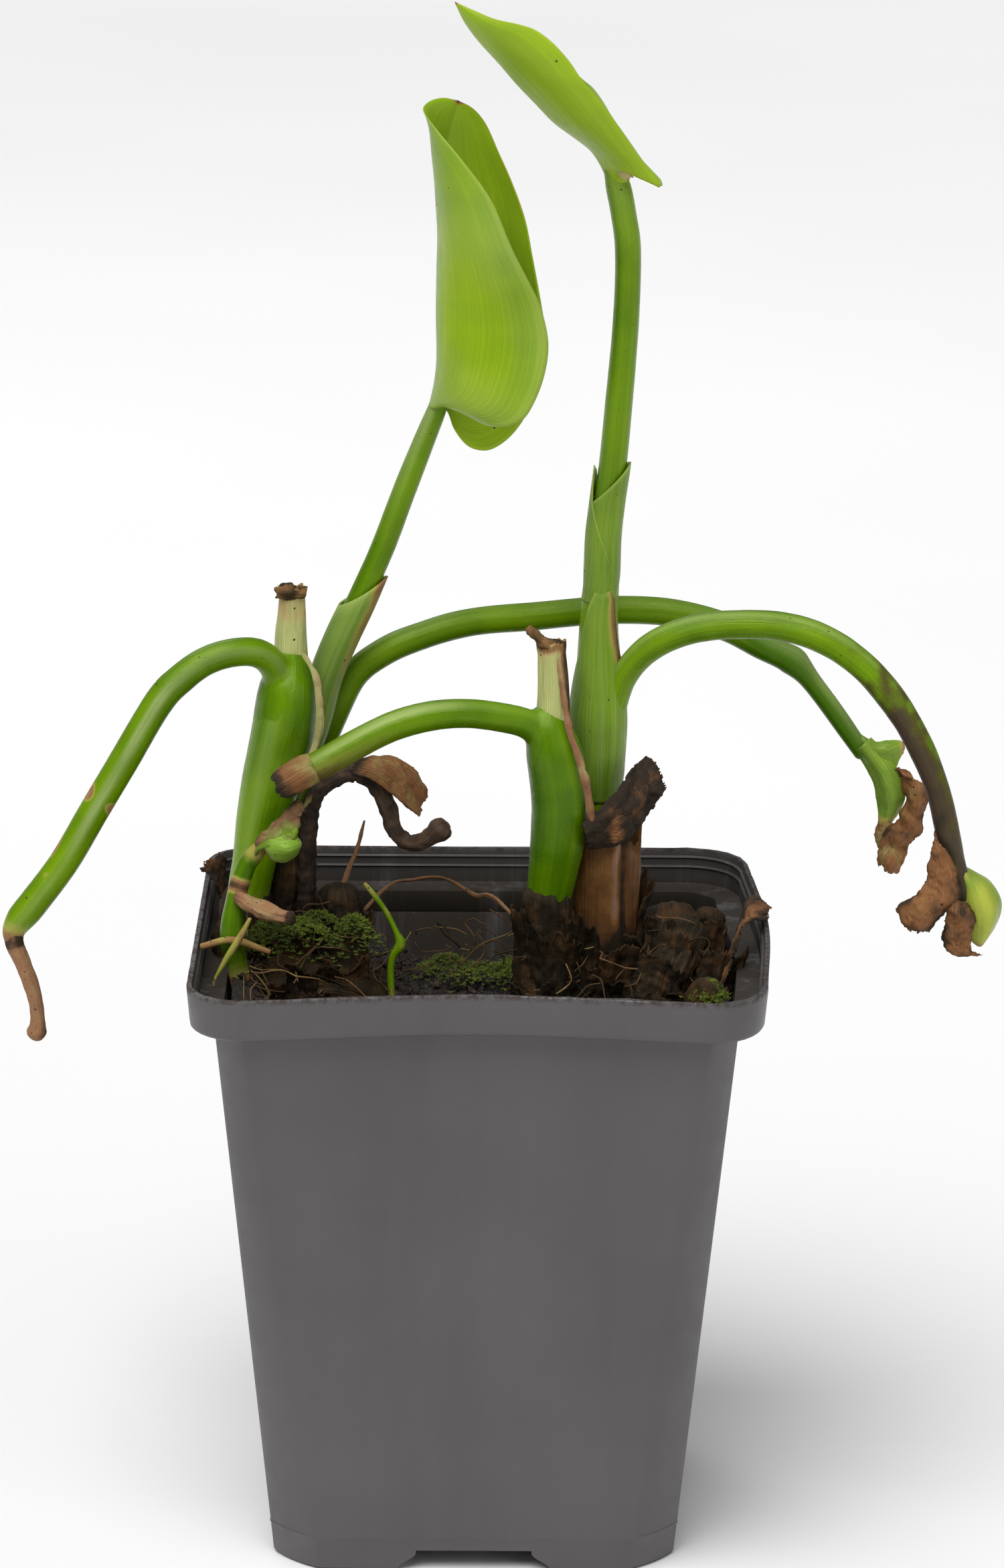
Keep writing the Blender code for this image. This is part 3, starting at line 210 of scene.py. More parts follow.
# The two blades: each line runs from where the stalk joins to the tip
LEAF_ONE_LINES = {
    "front margin": [
        (-6.4, 4.4, 223.2), (-4.6, 1.6, 222.8), (-2.7, -0.5, 222.1), (0.5, -3, 220.8), (3.6, -5, 220.5),
        (6.6, -6, 221.2), (9.2, -6.4, 223.4), (11.9, -5.6, 229.4), (13.0, -4.6, 236.2), (11.7, -5.4, 243.1),
        (9.6, -7.4, 248.2), (5.9, -9.2, 255.7), (1.9, -9.8, 265.0), (-3.4, -8.8, 272.1),
        (-7.8, -6, 276.9), (-10.9, -1, 280.3), (-10.1, 3, 281.6), (-7.4, 6, 282.0), (-4.4, 8, 281.2),
    ],
    "front bulge": [
        (-8.8, 3.0, 222.4), (-9.4, -2, 226.0), (-9.6, -7, 230.5), (-9.6, -10, 237), (-9.6, -11, 244),
        (-9.4, -12, 252), (-9.6, -12, 260), (-10.4, -9, 268), (-11.4, -4, 275), (-9.0, 3, 280.2),
        (-4.4, 8, 281.2),
    ],
    "midrib": [
        (-9.7, 7, 221.8), (-9.1, 7, 224.4), (-8.5, 7, 227.3), (-8.1, 7.2, 230.4), (-8.0, 7.4, 234),
        (-8.2, 7.6, 240.7), (-8.1, 8.2, 249.2), (-7.9, 8.4, 255.6), (-8.1, 8.6, 263.0), (-7.3, 8.4, 271.4),
        (-5.8, 8.2, 276.7), (-4.4, 8, 281.2),
    ],
    "back bulge": [
        (-8.4, 10.6, 222.4), (-5.6, 11.6, 224.5), (-1.6, 13, 230), (1.0, 14, 238), (1.6, 14, 247),
        (1.4, 13.6, 256), (0.4, 12.6, 265), (-1.6, 11, 273), (-4.4, 8, 281.2),
    ],
    "back margin": [
        (-6.4, 8.4, 222.2), (-5.6, 7.4, 219.6), (-4.7, 6.8, 217.4), (-2.3, 7, 214.4), (0.7, 7.2, 213.4),
        (3.3, 7, 214.2), (6.3, 6.8, 216.7), (9.1, 6, 221.0), (11.2, 5, 226.4), (12.3, 4, 231.6),
        (12.3, 3, 238.0), (11.7, 3, 242.4), (9.9, 4, 251.8), (8.4, 5, 259.0), (5.9, 6, 265.8),
        (3.3, 7, 271.5), (0.9, 8, 276.7), (-1.6, 8.2, 279.7), (-4.4, 8, 281.2),
    ],
}
LEAF_TWO_LINES = {
    "front margin": [
        (26.8, -0.9, 266.2), (28.6, -2.6, 268.8), (30.5, -4.4, 269.4), (32.0, -5, 268.3), (33.3, -5.4, 267.1),
        (33.9, -5.6, 266.8), (33.3, -6, 268.5), (31.3, -6.6, 270.9), (28.9, -7.6, 274.0), (26.3, -9, 278.0),
        (23.7, -10, 281.9), (21.1, -10.6, 285.2), (18.6, -11, 288.1), (16.6, -10.6, 291.0),
        (14.5, -10, 293.4), (12.4, -9, 295.3), (9.8, -7.8, 296.9), (6.8, -6.6, 297.7), (2.4, -4.6, 298.4),
        (-1.6, -2, 299.7), (-5.1, 0, 301.0),
    ],
    "front bulge": [
        (25.2, -1.6, 265.8), (25.4, -4.4, 269.0), (24.4, -7.0, 272.0), (22.4, -8.8, 275.2), (18.7, -9.5, 279.1),
        (14.9, -9.5, 283.1), (11.3, -9, 287.0), (7.7, -8, 290.4), (3.8, -6.5, 293.4), (-0.4, -4, 296.3),
        (-3.0, -2, 298.6), (-5.1, 0, 301.0),
    ],
    "midrib": [
        (24.7, 0, 265.4), (23.6, 0, 268.6), (22.4, 0.2, 271.0), (20.6, 0.5, 273.3), (17.1, 0.8, 275.9),
        (13.7, 1, 278.4), (10.4, 1, 281.8), (6.9, 1, 285.4), (3.5, 1, 289.3), (-0.6, 0.8, 293.8),
        (-3.3, 0.4, 297.4), (-5.1, 0, 301.0),
    ],
    "back bulge": [
        (25.6, 1.8, 265.4), (25.7, 4.6, 268.0), (25.0, 7, 270.4), (23.2, 9, 272.8), (19.3, 9.8, 276.8),
        (15.4, 10, 280.8), (11.7, 9.4, 284.9), (7.9, 8, 288.6), (4.0, 6.4, 292.0), (-0.2, 4, 295.4),
        (-2.9, 2, 298.2), (-5.1, 0, 301.0),
    ],
    "back margin": [
        (26.9, 0.9, 266.0), (29.0, 3.3, 268.0), (31.1, 5.4, 268.0), (32.8, 6.4, 266.6), (34.2, 7, 265.1),
        (34.7, 7.2, 265.2), (34.5, 7.4, 266.2), (32.8, 8, 267.9), (31.0, 8.8, 269.7), (29.3, 9.6, 272.0),
        (27.7, 10.2, 274.2), (26.1, 10.8, 276.3), (24.7, 11.2, 278.3), (23.1, 11.6, 280.9),
        (21.3, 11.6, 283.3), (19.2, 11, 285.1), (16.0, 9.6, 288.1), (11.7, 8, 291.3), (6.9, 6, 294.6),
        (2.4, 4, 296.8), (-1.7, 2, 299.1), (-5.1, 0, 301.0),
    ],
}

# Dead leaves as coarse cages: each row runs across the piece
FORK_LOWER = [
    [(75.4, 22, 150.2), (76.5, 20.4, 151.7), (77.8, 22, 152.4)],
    [(77.3, 22, 147.2), (78.6, 20, 149.0), (80.4, 21.6, 149.8)],
    [(79.2, 22, 143.6), (80.7, 19.8, 145.6), (83.2, 21.4, 146.3)],
    [(79.9, 21.6, 139.6), (81.9, 20, 141.1), (84.8, 21.6, 141.3)],
    [(80.3, 21.4, 136.6), (82.0, 20.4, 137.7), (84.1, 21.8, 138.4)],
    [(80.5, 21.4, 134.8), (81.2, 21, 135.0), (82.1, 21.4, 135.8)],
]
FORK_UPPER = [
    [(75.9, 22, 153.0), (76.7, 20.6, 151.9), (77.8, 22, 149.7)],
    [(78.6, 22, 151.3), (79.4, 20.4, 150.4), (80.8, 22, 147.8)],
    [(81.2, 22.2, 151.6), (81.8, 20.8, 150.4), (82.7, 22, 146.4)],
    [(83.3, 22.4, 151.8), (83.7, 21.4, 150.8), (83.6, 22, 148.3)],
    [(84.5, 22.4, 151.5), (84.6, 22, 150.8), (84.2, 22, 149.8)],
]
BACK_DRY_BLADE = [
    [(82.4, 21.6, 147.0), (83.6, 20.4, 146.8), (85.0, 20.8, 145.6)],
    [(84.3, 21, 145.0), (86.5, 18.4, 145.3), (88.5, 19.6, 142.9)],
    [(84.9, 21, 140.9), (87.3, 17.6, 141.2), (89.6, 19, 138.9)],
    [(83.9, 20.6, 136.8), (86.6, 17.6, 136.6), (88.4, 19, 134.8)],
    [(81.3, 20, 133.7), (83.8, 17.4, 132.7), (86.0, 18.6, 130.7)],
    [(80.0, 20, 130.6), (82.0, 17, 129.0), (84.7, 18, 127.3)],
    [(80.3, 19.6, 126.8), (81.8, 17.6, 125.7), (83.7, 18.4, 125.4)],
]
BACK_OLIVE_FOLD = [
    [(80.3, 22, 135.6), (82.0, 20.6, 135.7), (84.3, 21.4, 134.9)],
    [(79.5, 21.6, 132.9), (81.2, 19.4, 132.7), (83.5, 20.4, 132.2)],
    [(80.2, 21, 130.0), (81.3, 19.6, 129.3), (82.7, 20, 129.8)],
]
DEAD_BLADE = [
    [(-24.8, -2.8, 151.4), (-23.6, 0.3, 153.4), (-22.0, 3.2, 152.4)],
    [(-20.9, -3.4, 149.9), (-19.0, 0.3, 152.8), (-17.5, 3.6, 153.0)],
    [(-16.6, -3.8, 147.2), (-15.0, 0, 150.4), (-13.8, 3.4, 151.4)],
    [(-13.4, -3.2, 144.2), (-12.0, 0, 147.2), (-10.6, 2.8, 148.0)],
    [(-11.6, -1.8, 142.2), (-10.6, 0.2, 144.4), (-9.8, 1.6, 145.2)],
]
SMALL_LEFT_LEAF = [
    [(-43.7, -12.6, 136.8), (-42.6, -14.4, 139.2), (-41.1, -13, 140.2)],
    [(-42.9, -13.2, 139.7), (-40.7, -15.6, 140.1), (-40.0, -13.8, 141.8)],
    [(-41.6, -13.6, 142.2), (-37.9, -16.4, 140.1), (-36.6, -14, 143.7)],
    [(-40.0, -13.4, 143.8), (-35.8, -15.8, 141.3), (-34.6, -13.6, 145.0)],
    [(-37.5, -12.4, 146.0), (-35.3, -14, 144.5), (-33.8, -12.6, 146.8)],
    [(-34.6, -11.4, 148.6), (-33.3, -12.2, 147.8), (-31.8, -11.6, 149.8)],
]
GREEN_SPOON = [
    [(-41.8, -13.6, 139.8), (-40.7, -15.4, 139.3), (-40.0, -15, 137.8)],
    [(-40.3, -14, 141.3), (-38.4, -16.8, 140.0), (-38.9, -15.4, 137.2)],
    [(-37.9, -14.2, 142.2), (-36.4, -17.2, 140.0), (-37.2, -15.2, 137.0)],
    [(-35.9, -14, 142.0), (-34.7, -15.6, 140.4), (-35.3, -14.4, 138.0)],
    [(-35.0, -14, 141.2), (-34.4, -14.4, 140.3), (-34.7, -14, 139.2)],
]
RIM_LEAF_LEFT = [
    [(-46.4, 19, 109.6), (-46.2, 24, 108.9), (-45.8, 29, 108)],
    [(-46.8, 20, 112.6), (-46.6, 25, 112.6), (-46.0, 30, 112.6)],
    [(-50.4, 20, 117.6), (-50.2, 25, 117.6), (-49.0, 30, 117.6)],
    [(-53.0, 21, 122.6), (-52.4, 25, 123.6), (-50.0, 29, 122.6)],
    [(-56.2, 22, 125.4), (-54.0, 25, 127), (-50.0, 27, 127.4)],
]
RIM_LEAF_RIGHT = [
    [(47.6, -10, 109.2), (47.4, -6, 110.2), (47.4, -1, 111.6)],
    [(49.8, -9, 116), (50.2, -4, 116), (50.6, 1, 116)],
    [(53.0, -6, 122.0), (53.8, 2, 123.2), (53.2, 9, 122.8)],
    [(57.6, -4, 122.2), (58.8, 4, 122.0), (56.4, 10, 122.6)],
]
DARK_CURLED_LEAF = [
    [(19.8, -12.4, 143.8), (20.6, -12.4, 141.4), (21.6, -9.6, 137.6)],
    [(23.2, -10.0, 146.4), (24.6, -10.4, 143.4), (25.6, -7.4, 137.8)],
    [(27.0, -6.6, 149.6), (28.8, -6.8, 145.8), (30.0, -4.4, 138.6)],
    [(29.8, -2, 152.4), (32.6, -2.4, 148.6), (33.2, -0.6, 142.6)],
    [(33.0, 2, 154.2), (35.6, 1, 151.6), (37.2, 0, 148)],
]
RIGHT_GREEN_LOBE = [
    [(93.8, -7.6, 134.6), (94.6, -9.8, 133.2), (94.5, -9.2, 131.2)],
    [(96.8, -7, 132.9), (96.8, -10.6, 130.8), (93.3, -8.6, 127.8)],
    [(99.6, -7.4, 131.2), (98.4, -11.6, 128.0), (92.9, -8, 124.1)],
    [(101.7, -8, 127.5), (99.4, -11.4, 124.7), (94.2, -8, 122.2)],
    [(101.0, -8, 123.3), (98.9, -9.8, 121.4), (95.8, -8, 120.8)],
    [(98.4, -8, 118.9), (98.0, -8.4, 118.8), (97.2, -8, 119.5)],
]
RIGHT_DRY_BLADE = [
    [(88.2, -9, 142.0), (88.6, -10.2, 141.2), (89.4, -10.8, 140.2)],
    [(88.2, -10, 137.0), (89.9, -12.2, 136.4), (92.2, -11.4, 136.8)],
    [(87.2, -10.4, 132.6), (90.0, -13.2, 132.4), (93.4, -11.6, 132.6)],
    [(85.1, -11.4, 129.8), (88.6, -13.8, 128.5), (93.6, -11.8, 128.7)],
    [(81.3, -12, 127.6), (84.9, -14, 125.2), (90.6, -12.4, 125.7)],
    [(82.9, -12.4, 123.2), (84.9, -13.2, 122.0), (87.9, -12.4, 122.4)],
]
RIGHT_DRY_SCRAP = [
    [(90.9, -11.4, 129.6), (93.2, -12.8, 129.2), (96.0, -11.4, 127.6)],
    [(91.2, -11.8, 126.0), (93.9, -13.6, 125.8), (97.2, -12, 124.9)],
    [(90.1, -12, 122.0), (93.1, -13.8, 121.8), (96.4, -12.4, 121.2)],
    [(90.8, -12, 119.8), (93.6, -13.6, 119.2), (96.2, -12.4, 118.8)],
    [(93.6, -12.2, 118.5), (96.2, -13, 117.8), (99.2, -12.4, 118.0)],
]
# Folded-over tips of the two stubs
LEFT_STUB_TIP = [
    [(-39.4, 4.6, 184.8), (-38.9, 3.6, 186.2), (-38.7, 4.4, 187.4)],
    [(-37.6, 4.0, 184.6), (-37.2, 2.8, 186.4), (-37.0, 4.0, 187.6)],
    [(-35.4, 4.0, 184.8), (-35.2, 3.0, 186.0), (-35.0, 4.2, 186.6)],
    [(-33.7, 4.6, 184.9), (-33.6, 3.8, 185.8), (-33.4, 4.6, 186.4)],
]
RIGHT_STUB_TIP = [
    [(9.3, -3.6, 180.6), (9.6, -4.2, 181.2), (10.2, -3.8, 181.4)],
    [(10.6, -4.4, 178.8), (11.1, -4.9, 179.4), (11.6, -4.4, 179.9)],
    [(12.4, -5.0, 177.0), (12.9, -5.6, 178.0), (13.3, -5.0, 179.2)],
    [(14.6, -5.0, 176.8), (15.0, -5.6, 177.8), (15.3, -5.0, 178.8)],
    [(16.2, -4.4, 176.2), (16.5, -4.8, 177.2), (16.6, -4.2, 178.0)],
]

# Papery edges that stand off the two swollen stems, and the dry collar under the top leaf
LEFT_MEMBRANE = [
    [(-34.6, 0.4, 174.6), (-33.8, -0.6, 174.8), (-33.0, -0.8, 174.0)],
    [(-32.4, -2.6, 171.4), (-31.4, -2.8, 171.0), (-30.5, -2.6, 170.2)],
    [(-31.5, -3.2, 166), (-30.6, -3.4, 165.6), (-29.9, -3.0, 165)],
    [(-31.6, -3.4, 160), (-30.6, -3.8, 160), (-29.9, -3.2, 160)],
    [(-32.9, -3.2, 155), (-31.9, -3.8, 155.2), (-31.3, -3.2, 156)],
    [(-34.8, -3.0, 149.4), (-34.1, -3.6, 150), (-33.5, -3.2, 151)],
]
FRONT_MEMBRANE = [
    [(15.0, -6.0, 175.0), (15.6, -6.4, 175.2), (16.1, -6.0, 175.0)],
    [(15.9, -7.4, 169), (16.5, -7.8, 169), (17.0, -7.2, 168.8)],
    [(17.0, -10.2, 162), (17.8, -10.6, 162), (18.4, -10.0, 162)],
    [(18.9, -11.4, 156.4), (19.7, -11.8, 156.6), (20.4, -11.2, 157)],
    [(20.4, -11.6, 150.4), (21.3, -12.0, 150.6), (22.0, -11.2, 151)],
    [(21.4, -11.2, 144), (22.2, -11.6, 144.2), (22.9, -10.6, 144.6)],
]
LEAF_TWO_COLLAR = [
    [(25.4, -3.4, 269.6), (26.6, -4.4, 268.4), (27.8, -4.2, 267.6)],
    [(26.6, -4.6, 271.6), (28.4, -5.4, 270.2), (30.0, -5.4, 269.2)],
    [(28.0, -5.6, 273.4), (29.8, -6.2, 271.6), (31.6, -6.0, 269.9)],
]

# Old leaf bases as torn half tubes: foot, top, radius, facing in degrees, spread in degrees, decay
LEFT_HUSKS = [
    ((-45.4, 2.6, 106), (-44.6, 2.2, 124), 5.0, -60, 150, 0.9),
    ((-45.6, 2.6, 106), (-44.6, 2.4, 120), 5.6, 60, 140, 0.97),
    ((-38.6, 6.6, 106), (-37.4, 6.2, 127), 3.6, 10, 160, 0.93),
    ((-38.0, -7, 104), (-40.4, -8, 114), 6.8, -30, 130, 0.92),
    ((-33.0, -6, 104), (-33.6, -8, 118), 5.8, 20, 120, 0.94),
    ((-25.4, -4, 103), (-27.0, -4.4, 117), 5.2, 10, 150, 0.8),
    ((-27.0, 1.2, 104), (-27.2, 1.8, 127), 3.6, 20, 230, 0.97),
    ((-26.6, 1.2, 104), (-26.0, 1.8, 124), 4.3, 160, 230, 0.9),
    ((-40.8, 13, 106), (-40.0, 13.6, 124), 6.4, -100, 130, 0.95),
    ((-37.0, 17, 106), (-36.4, 17, 126), 3.8, 150, 180, 0.9),
    ((-34.4, 3.4, 106), (-33.8, 3.0, 122), 2.6, 60, 200, 0.97),
    ((-36.6, -1, 104), (-36.0, -1, 121), 4.0, -20, 170, 0.86),
    ((-31.4, -10, 102), (-31.0, -11, 112), 4.5, 10, 160, 0.9),
    ((-43.0, -16, 102), (-43.6, -17, 112), 5.0, -10, 160, 0.94),
]
RIGHT_HUSKS = [
    ((13.2, -5.6, 105), (12.6, -6.0, 129), 5.2, -75, 110, 0.97),
    ((15.0, -6.4, 104), (15.4, -7.2, 124), 5.8, 0, 120, 0.97),
    ((19.4, -4.4, 104), (20.4, -5.6, 128), 5.6, -10, 110, 0.97),
    ((24.8, -2.4, 104), (26.4, -3.4, 121), 6.6, 30, 120, 0.84),
    ((25.4, 2.6, 104), (25.4, 3.0, 132), 7.2, 130, 150, 0.9),
    ((18.0, -2.0, 104), (17.6, -2.0, 122), 8.0, -150, 130, 0.95),
    ((24.0, -5.0, 104), (26.6, -8.4, 117), 5.4, -20, 120, 0.93),
    ((12.0, -9.0, 102), (11.0, -11, 114), 4.6, -10, 150, 0.97),
    ((19.0, -11, 102), (19.4, -13, 111), 5.0, 10, 140, 0.95),
]
CLUMP_HUSKS = [
    ((36.0, -4, 104), (40.4, 2, 120), 5.2, -40, 170, 0.92),
    ((38.6, 5, 106), (38.0, 9, 121), 7.6, 30, 170, 0.97),
    ((44.8, 5, 106), (46.4, 8, 121), 4.2, -30, 160, 0.8),
    ((33.0, -8.6, 104), (37.4, -5, 116), 5.0, -10, 160, 0.93),
    ((38.0, 2, 104), (36.4, 4, 119), 8.8, -70, 110, 0.98),
    ((40.0, 10, 104), (38.6, 14, 117), 6.0, 160, 160, 0.95),
    ((32.0, -16, 102), (37.0, -15, 112), 5.4, 10, 170, 0.97),
    ((41.0, -14, 102), (42.0, -14, 114), 5.6, 20, 170, 0.95),
    ((46.0, -4, 104), (48.4, -3, 118), 4.4, 0, 190, 0.9),
]


# Places, routes and grids


def place(x, y, z):
    """A point in the model's frame from millimetres about the pot's axis."""
    return Vector(((x - BOX_CENTRE[0]) * MM, (y - BOX_CENTRE[1]) * MM, z * MM))


def curve_through(stations, step):
    """Stations at most about a step apart on a Catmull-Rom curve through the given ones."""
    points = [Vector(s) for s in stations]
    points = [2 * points[0] - points[1], *points, 2 * points[-1] - points[-2]]
    found = []
    for a, b, c, d in zip(points, points[1:], points[2:], points[3:]):
        count = max(1, round((c - b).xyz.length / step))
        for i in range(count):
            t = i / count
            found.append(
                0.5 * (2 * b + (c - a) * t + (2 * a - 5 * b + 4 * c - d) * t**2
                       + (3 * b - a - 3 * c + d) * t**3)
            )
    return [*found, points[-2]]


def frames_along(stations, step):
    """Centre, radius, direction, front side, right side, distance and share of every fine station."""
    route = curve_through(stations, step)
    centres = [place(*s.xyz) for s in route]
    reach = [0.0]
    for a, b in zip(centres, centres[1:]):
        reach.append(reach[-1] + (b - a).length / MM)
    front = Vector((0, -1, 0))
    found = []
    for k, centre in enumerate(centres):
        direction = (centres[min(k + 1, len(centres) - 1)] - centres[max(k - 1, 0)]).normalized()
        front = front - front.dot(direction) * direction
        front.normalize()
        found.append((centre, route[k].w, direction, front.copy(), direction.cross(front), reach[k],
                      reach[k] / reach[-1]))
    return found


def evenly(line, count):
    """Points at even distances on a smooth curve through the line's points."""
    fine = [s.xyz for s in curve_through([(*p, 0) for p in line], 0.5)]
    reach = [0.0]
    for a, b in zip(fine, fine[1:]):
        reach.append(reach[-1] + (b - a).length)
    found, k = [], 0
    for i in range(count + 1):
        target = reach[-1] * i / count
        while k < len(fine) - 2 and reach[k + 1] < target:
            k += 1
        t = (target - reach[k]) / max(reach[k + 1] - reach[k], 1e-9)
        found.append(fine[k].lerp(fine[k + 1], min(t, 1)))
    return found


def refined(cage, down, across):
    """A fine grid of places on the smooth surface through a cage of rows."""
    columns = [evenly([row[j] for row in cage], down) for j in range(len(cage[0]))]
    return [[place(*p) for p in evenly([c[i] for c in columns], across)] for i in range(down + 1)]


def wave(where, size, seed=0.0):
    """Smooth noise between about -1 and 1 whose lumps are about size millimetres wide."""
    return noise.noise(where / (size * MM) + Vector((seed * 7.3, seed * 3.1, seed * 5.7)))


def keyed(*keys):
    """A function that goes through (share, value) keys."""
    def value(share):
        for (a, low), (b, high) in zip(keys, keys[1:]):
            if share <= b:
                return low + (high - low) * max(share - a, 0) / max(b - a, 1e-9)
        return keys[-1][1]
    return value


def smoothstep(low, high, value):
    t = min(max((value - low) / (high - low), 0), 1)
    return t * t * (3 - 2 * t)


class Skin:
    """The points, faces and painted values of one piece before it becomes a mesh."""

    def __init__(self):
        self.points, self.faces = [], []
        self.grain, self.tone, self.decay, self.bloom_and_sheen = [], [], [], []

    def point(self, where, grain, tone=0.5, decay=0.0, bloom_and_sheen=0.0):
        self.points.append(where)
        self.grain.append(grain)
        self.tone.append(tone)
        self.decay.append(decay)
        self.bloom_and_sheen.append(bloom_and_sheen)
        return len(self.points) - 1

    def band(self, low, high):
        """Faces between two closed rings."""
        count = len(low)
        for i in range(count):
            j = (i + 1) % count
            self.faces.append((low[i], low[j], high[j], high[i]))

    def tube(self, stations, paint, around=22, step=1.0, shape=None):
        """A closed tube with domed ends. paint and shape take the share of the length, the angle
        from the front and the place, and shape gives a factor on the radius."""
        frames = frames_along(stations, step)
        rings = []
        for k, (centre, radius, direction, front, right, reach, share) in enumerate(frames):
            last = len(frames) - 1
            levels = [(0.0, 1.0)]
            if k == 0:
                levels = [(-0.6, 0.25), (-0.5, 0.6), (-0.3, 0.86), (0, 1)]
            elif k == last:
                levels = [(0, 1), (0.3, 0.86), (0.5, 0.6), (0.6, 0.25)]
            for ahead, width in levels:
                ring = []
                for i in range(around):
                    angle = TAU * i / around
                    out = front * math.cos(angle) + right * math.sin(angle)
                    spot = centre + out * radius * MM
                    swell = shape(share, angle, spot) if shape else 1
                    spot = centre + (out * width * swell + direction * ahead) * radius * MM
                    grain = (2.4 * math.cos(angle), 2.4 * math.sin(angle), reach * 0.05)
                    ring.append(self.point(spot, grain, *paint(share, angle, spot)))
                rings.append(ring)
        for low, high in zip(rings, rings[1:]):
            self.band(low, high)
        self.faces.append(tuple(reversed(rings[0])))
        self.faces.append(tuple(rings[-1]))
        return self

    def shell(self, grid, thickness, paint, keep=None, closed=False, fibres=9.0, length=0.05):
        """A thin sheet on a grid of places. paint takes u across, v along, the side and the place,
        and keep says which cells stay, so that a border can be torn."""
        rows, cols = len(grid), len(grid[0])
        cells = cols if closed else cols - 1

        def at(i, j):
            j = j % cols if closed else min(max(j, 0), cols - 1)
            return grid[min(max(i, 0), rows - 1)][j]

        layers = []
        for side in (1, -1):
            layer = []
            for i in range(rows):
                row = []
                for j in range(cols):
                    out = (at(i, j + 1) - at(i, j - 1)).cross(at(i + 1, j) - at(i - 1, j))
                    out.normalize()
                    u, v = j / cells, i / (rows - 1)
                    deep = thickness(u, v) if callable(thickness) else thickness
                    spot = grid[i][j] + out * side * deep * MM / 2
                    if closed:
                        grain = (2.4 * math.cos(TAU * u), 2.4 * math.sin(TAU * u), v * 2 + side)
                    else:
                        grain = (fibres * u, 0.37 * side, v * rows * length)
                    row.append(self.point(spot, grain, *paint(u, v, side, spot)))
                layer.append(row)
            layers.append(layer)
        front, back = layers

        def kept(i, j):
            if not 0 <= i < rows - 1 or (not closed and not 0 <= j < cells):
                return False
            return keep is None or keep((j % cells + 0.5) / cells, (i + 0.5) / (rows - 1))

        for i in range(rows - 1):
            for j in range(cells):
                if not kept(i, j):
                    continue
                k = (j + 1) % cols
                self.faces.append((front[i][j], front[i][k], front[i + 1][k], front[i + 1][j]))
                self.faces.append((back[i][j], back[i + 1][j], back[i + 1][k], back[i][k]))
                for missing, a, b in (
                    (not kept(i - 1, j), (i, j), (i, k)), (not kept(i + 1, j), (i + 1, k), (i + 1, j)),
                    (not kept(i, j - 1), (i + 1, j), (i, j)), (not kept(i, j + 1), (i, k), (i + 1, k)),
                ):
                    if missing:
                        (p, q), (r, s) = a, b
                        self.faces.append((front[p][q], back[p][q], back[r][s], front[r][s]))
        return self

    def spike(self, foot, tip, width, tone=0.5, decay=0.0):
        """A three-sided sliver, for moss leaves and torn fibres."""
        along = (tip - foot).normalized()
        side = along.orthogonal().normalized() * width * MM
        other = along.cross(side)
        grain = (0, 0, 0)
        ring = [self.point(foot + side * math.cos(a) + other * math.sin(a), grain, tone, decay)
                for a in (0, TAU / 3, 2 * TAU / 3)]
        top = self.point(tip, grain, tone, decay)
        self.faces += [(ring[0], ring[1], top), (ring[1], ring[2], top), (ring[2], ring[0], top),
                       (ring[2], ring[1], ring[0])]

    def chip(self, centre, size, rng, tone=0.5, decay=0.0):
        """An irregular crumb."""
        turn = Matrix.Rotation(
            rng.uniform(0, TAU), 3, Vector((rng.uniform(-1, 1), rng.uniform(-1, 1), 0.4)).normalized()
        )
        base = ((1, 0, 0), (0, 1, 0), (-1, 0, 0), (0, -1, 0), (0, 0, 1), (0, 0, -1))
        ends = []
        for corner in base:
            stretch = Vector(corner) * rng.uniform(0.55, 1.2) * size * MM
            ends.append(self.point(centre + turn @ stretch, (0, 0, 0), tone, decay))
        for i in range(4):
            j = (i + 1) % 4
            self.faces += [(ends[i], ends[j], ends[4]), (ends[j], ends[i], ends[5])]

    def mesh(self, name):
        """The mesh without its unused points."""
        used = sorted({i for face in self.faces for i in face})
        index = {old: new for new, old in enumerate(used)}
        mesh = bpy.data.meshes.new(name)
        mesh.from_pydata([self.points[i] for i in used], [], [[index[i] for i in f] for f in self.faces])
        put_values(mesh, *([values[i] for i in used] for values in (self.grain, self.tone, self.decay, self.bloom_and_sheen)))
        mesh.shade_smooth()
        return mesh


def put_values(mesh, grain, tone, decay, bloom_and_sheen):
    """Stores the painted values that the materials read."""
    for key in ("grain", "tone", "decay", "bloom_and_sheen"):
        if key in mesh.attributes:
            mesh.attributes.remove(mesh.attributes[key])
    vector = mesh.attributes.new("grain", "FLOAT_VECTOR", "POINT")
    vector.data.foreach_set("vector", [c for g in grain for c in g])
    mesh.attributes.new("tone", "FLOAT", "POINT").data.foreach_set("value", tone)
    mesh.attributes.new("decay", "FLOAT", "POINT").data.foreach_set("value", decay)
    # The last value holds the pale waxy film together with painted sheen and highlight stripes.
    mesh.attributes.new("bloom_and_sheen", "FLOAT", "POINT").data.foreach_set("value", bloom_and_sheen)


def piece(name, mesh, material, *nodes):
    """A finished piece that rides with the plant and stands for CAD nodes."""
    obj = bpy.data.objects.new(name, mesh)
    bpy.context.scene.collection.objects.link(obj)
    mesh.materials.clear()
    mesh.materials.append(material)
    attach(obj, "root")
    if nodes:
        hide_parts(*nodes)
    return obj


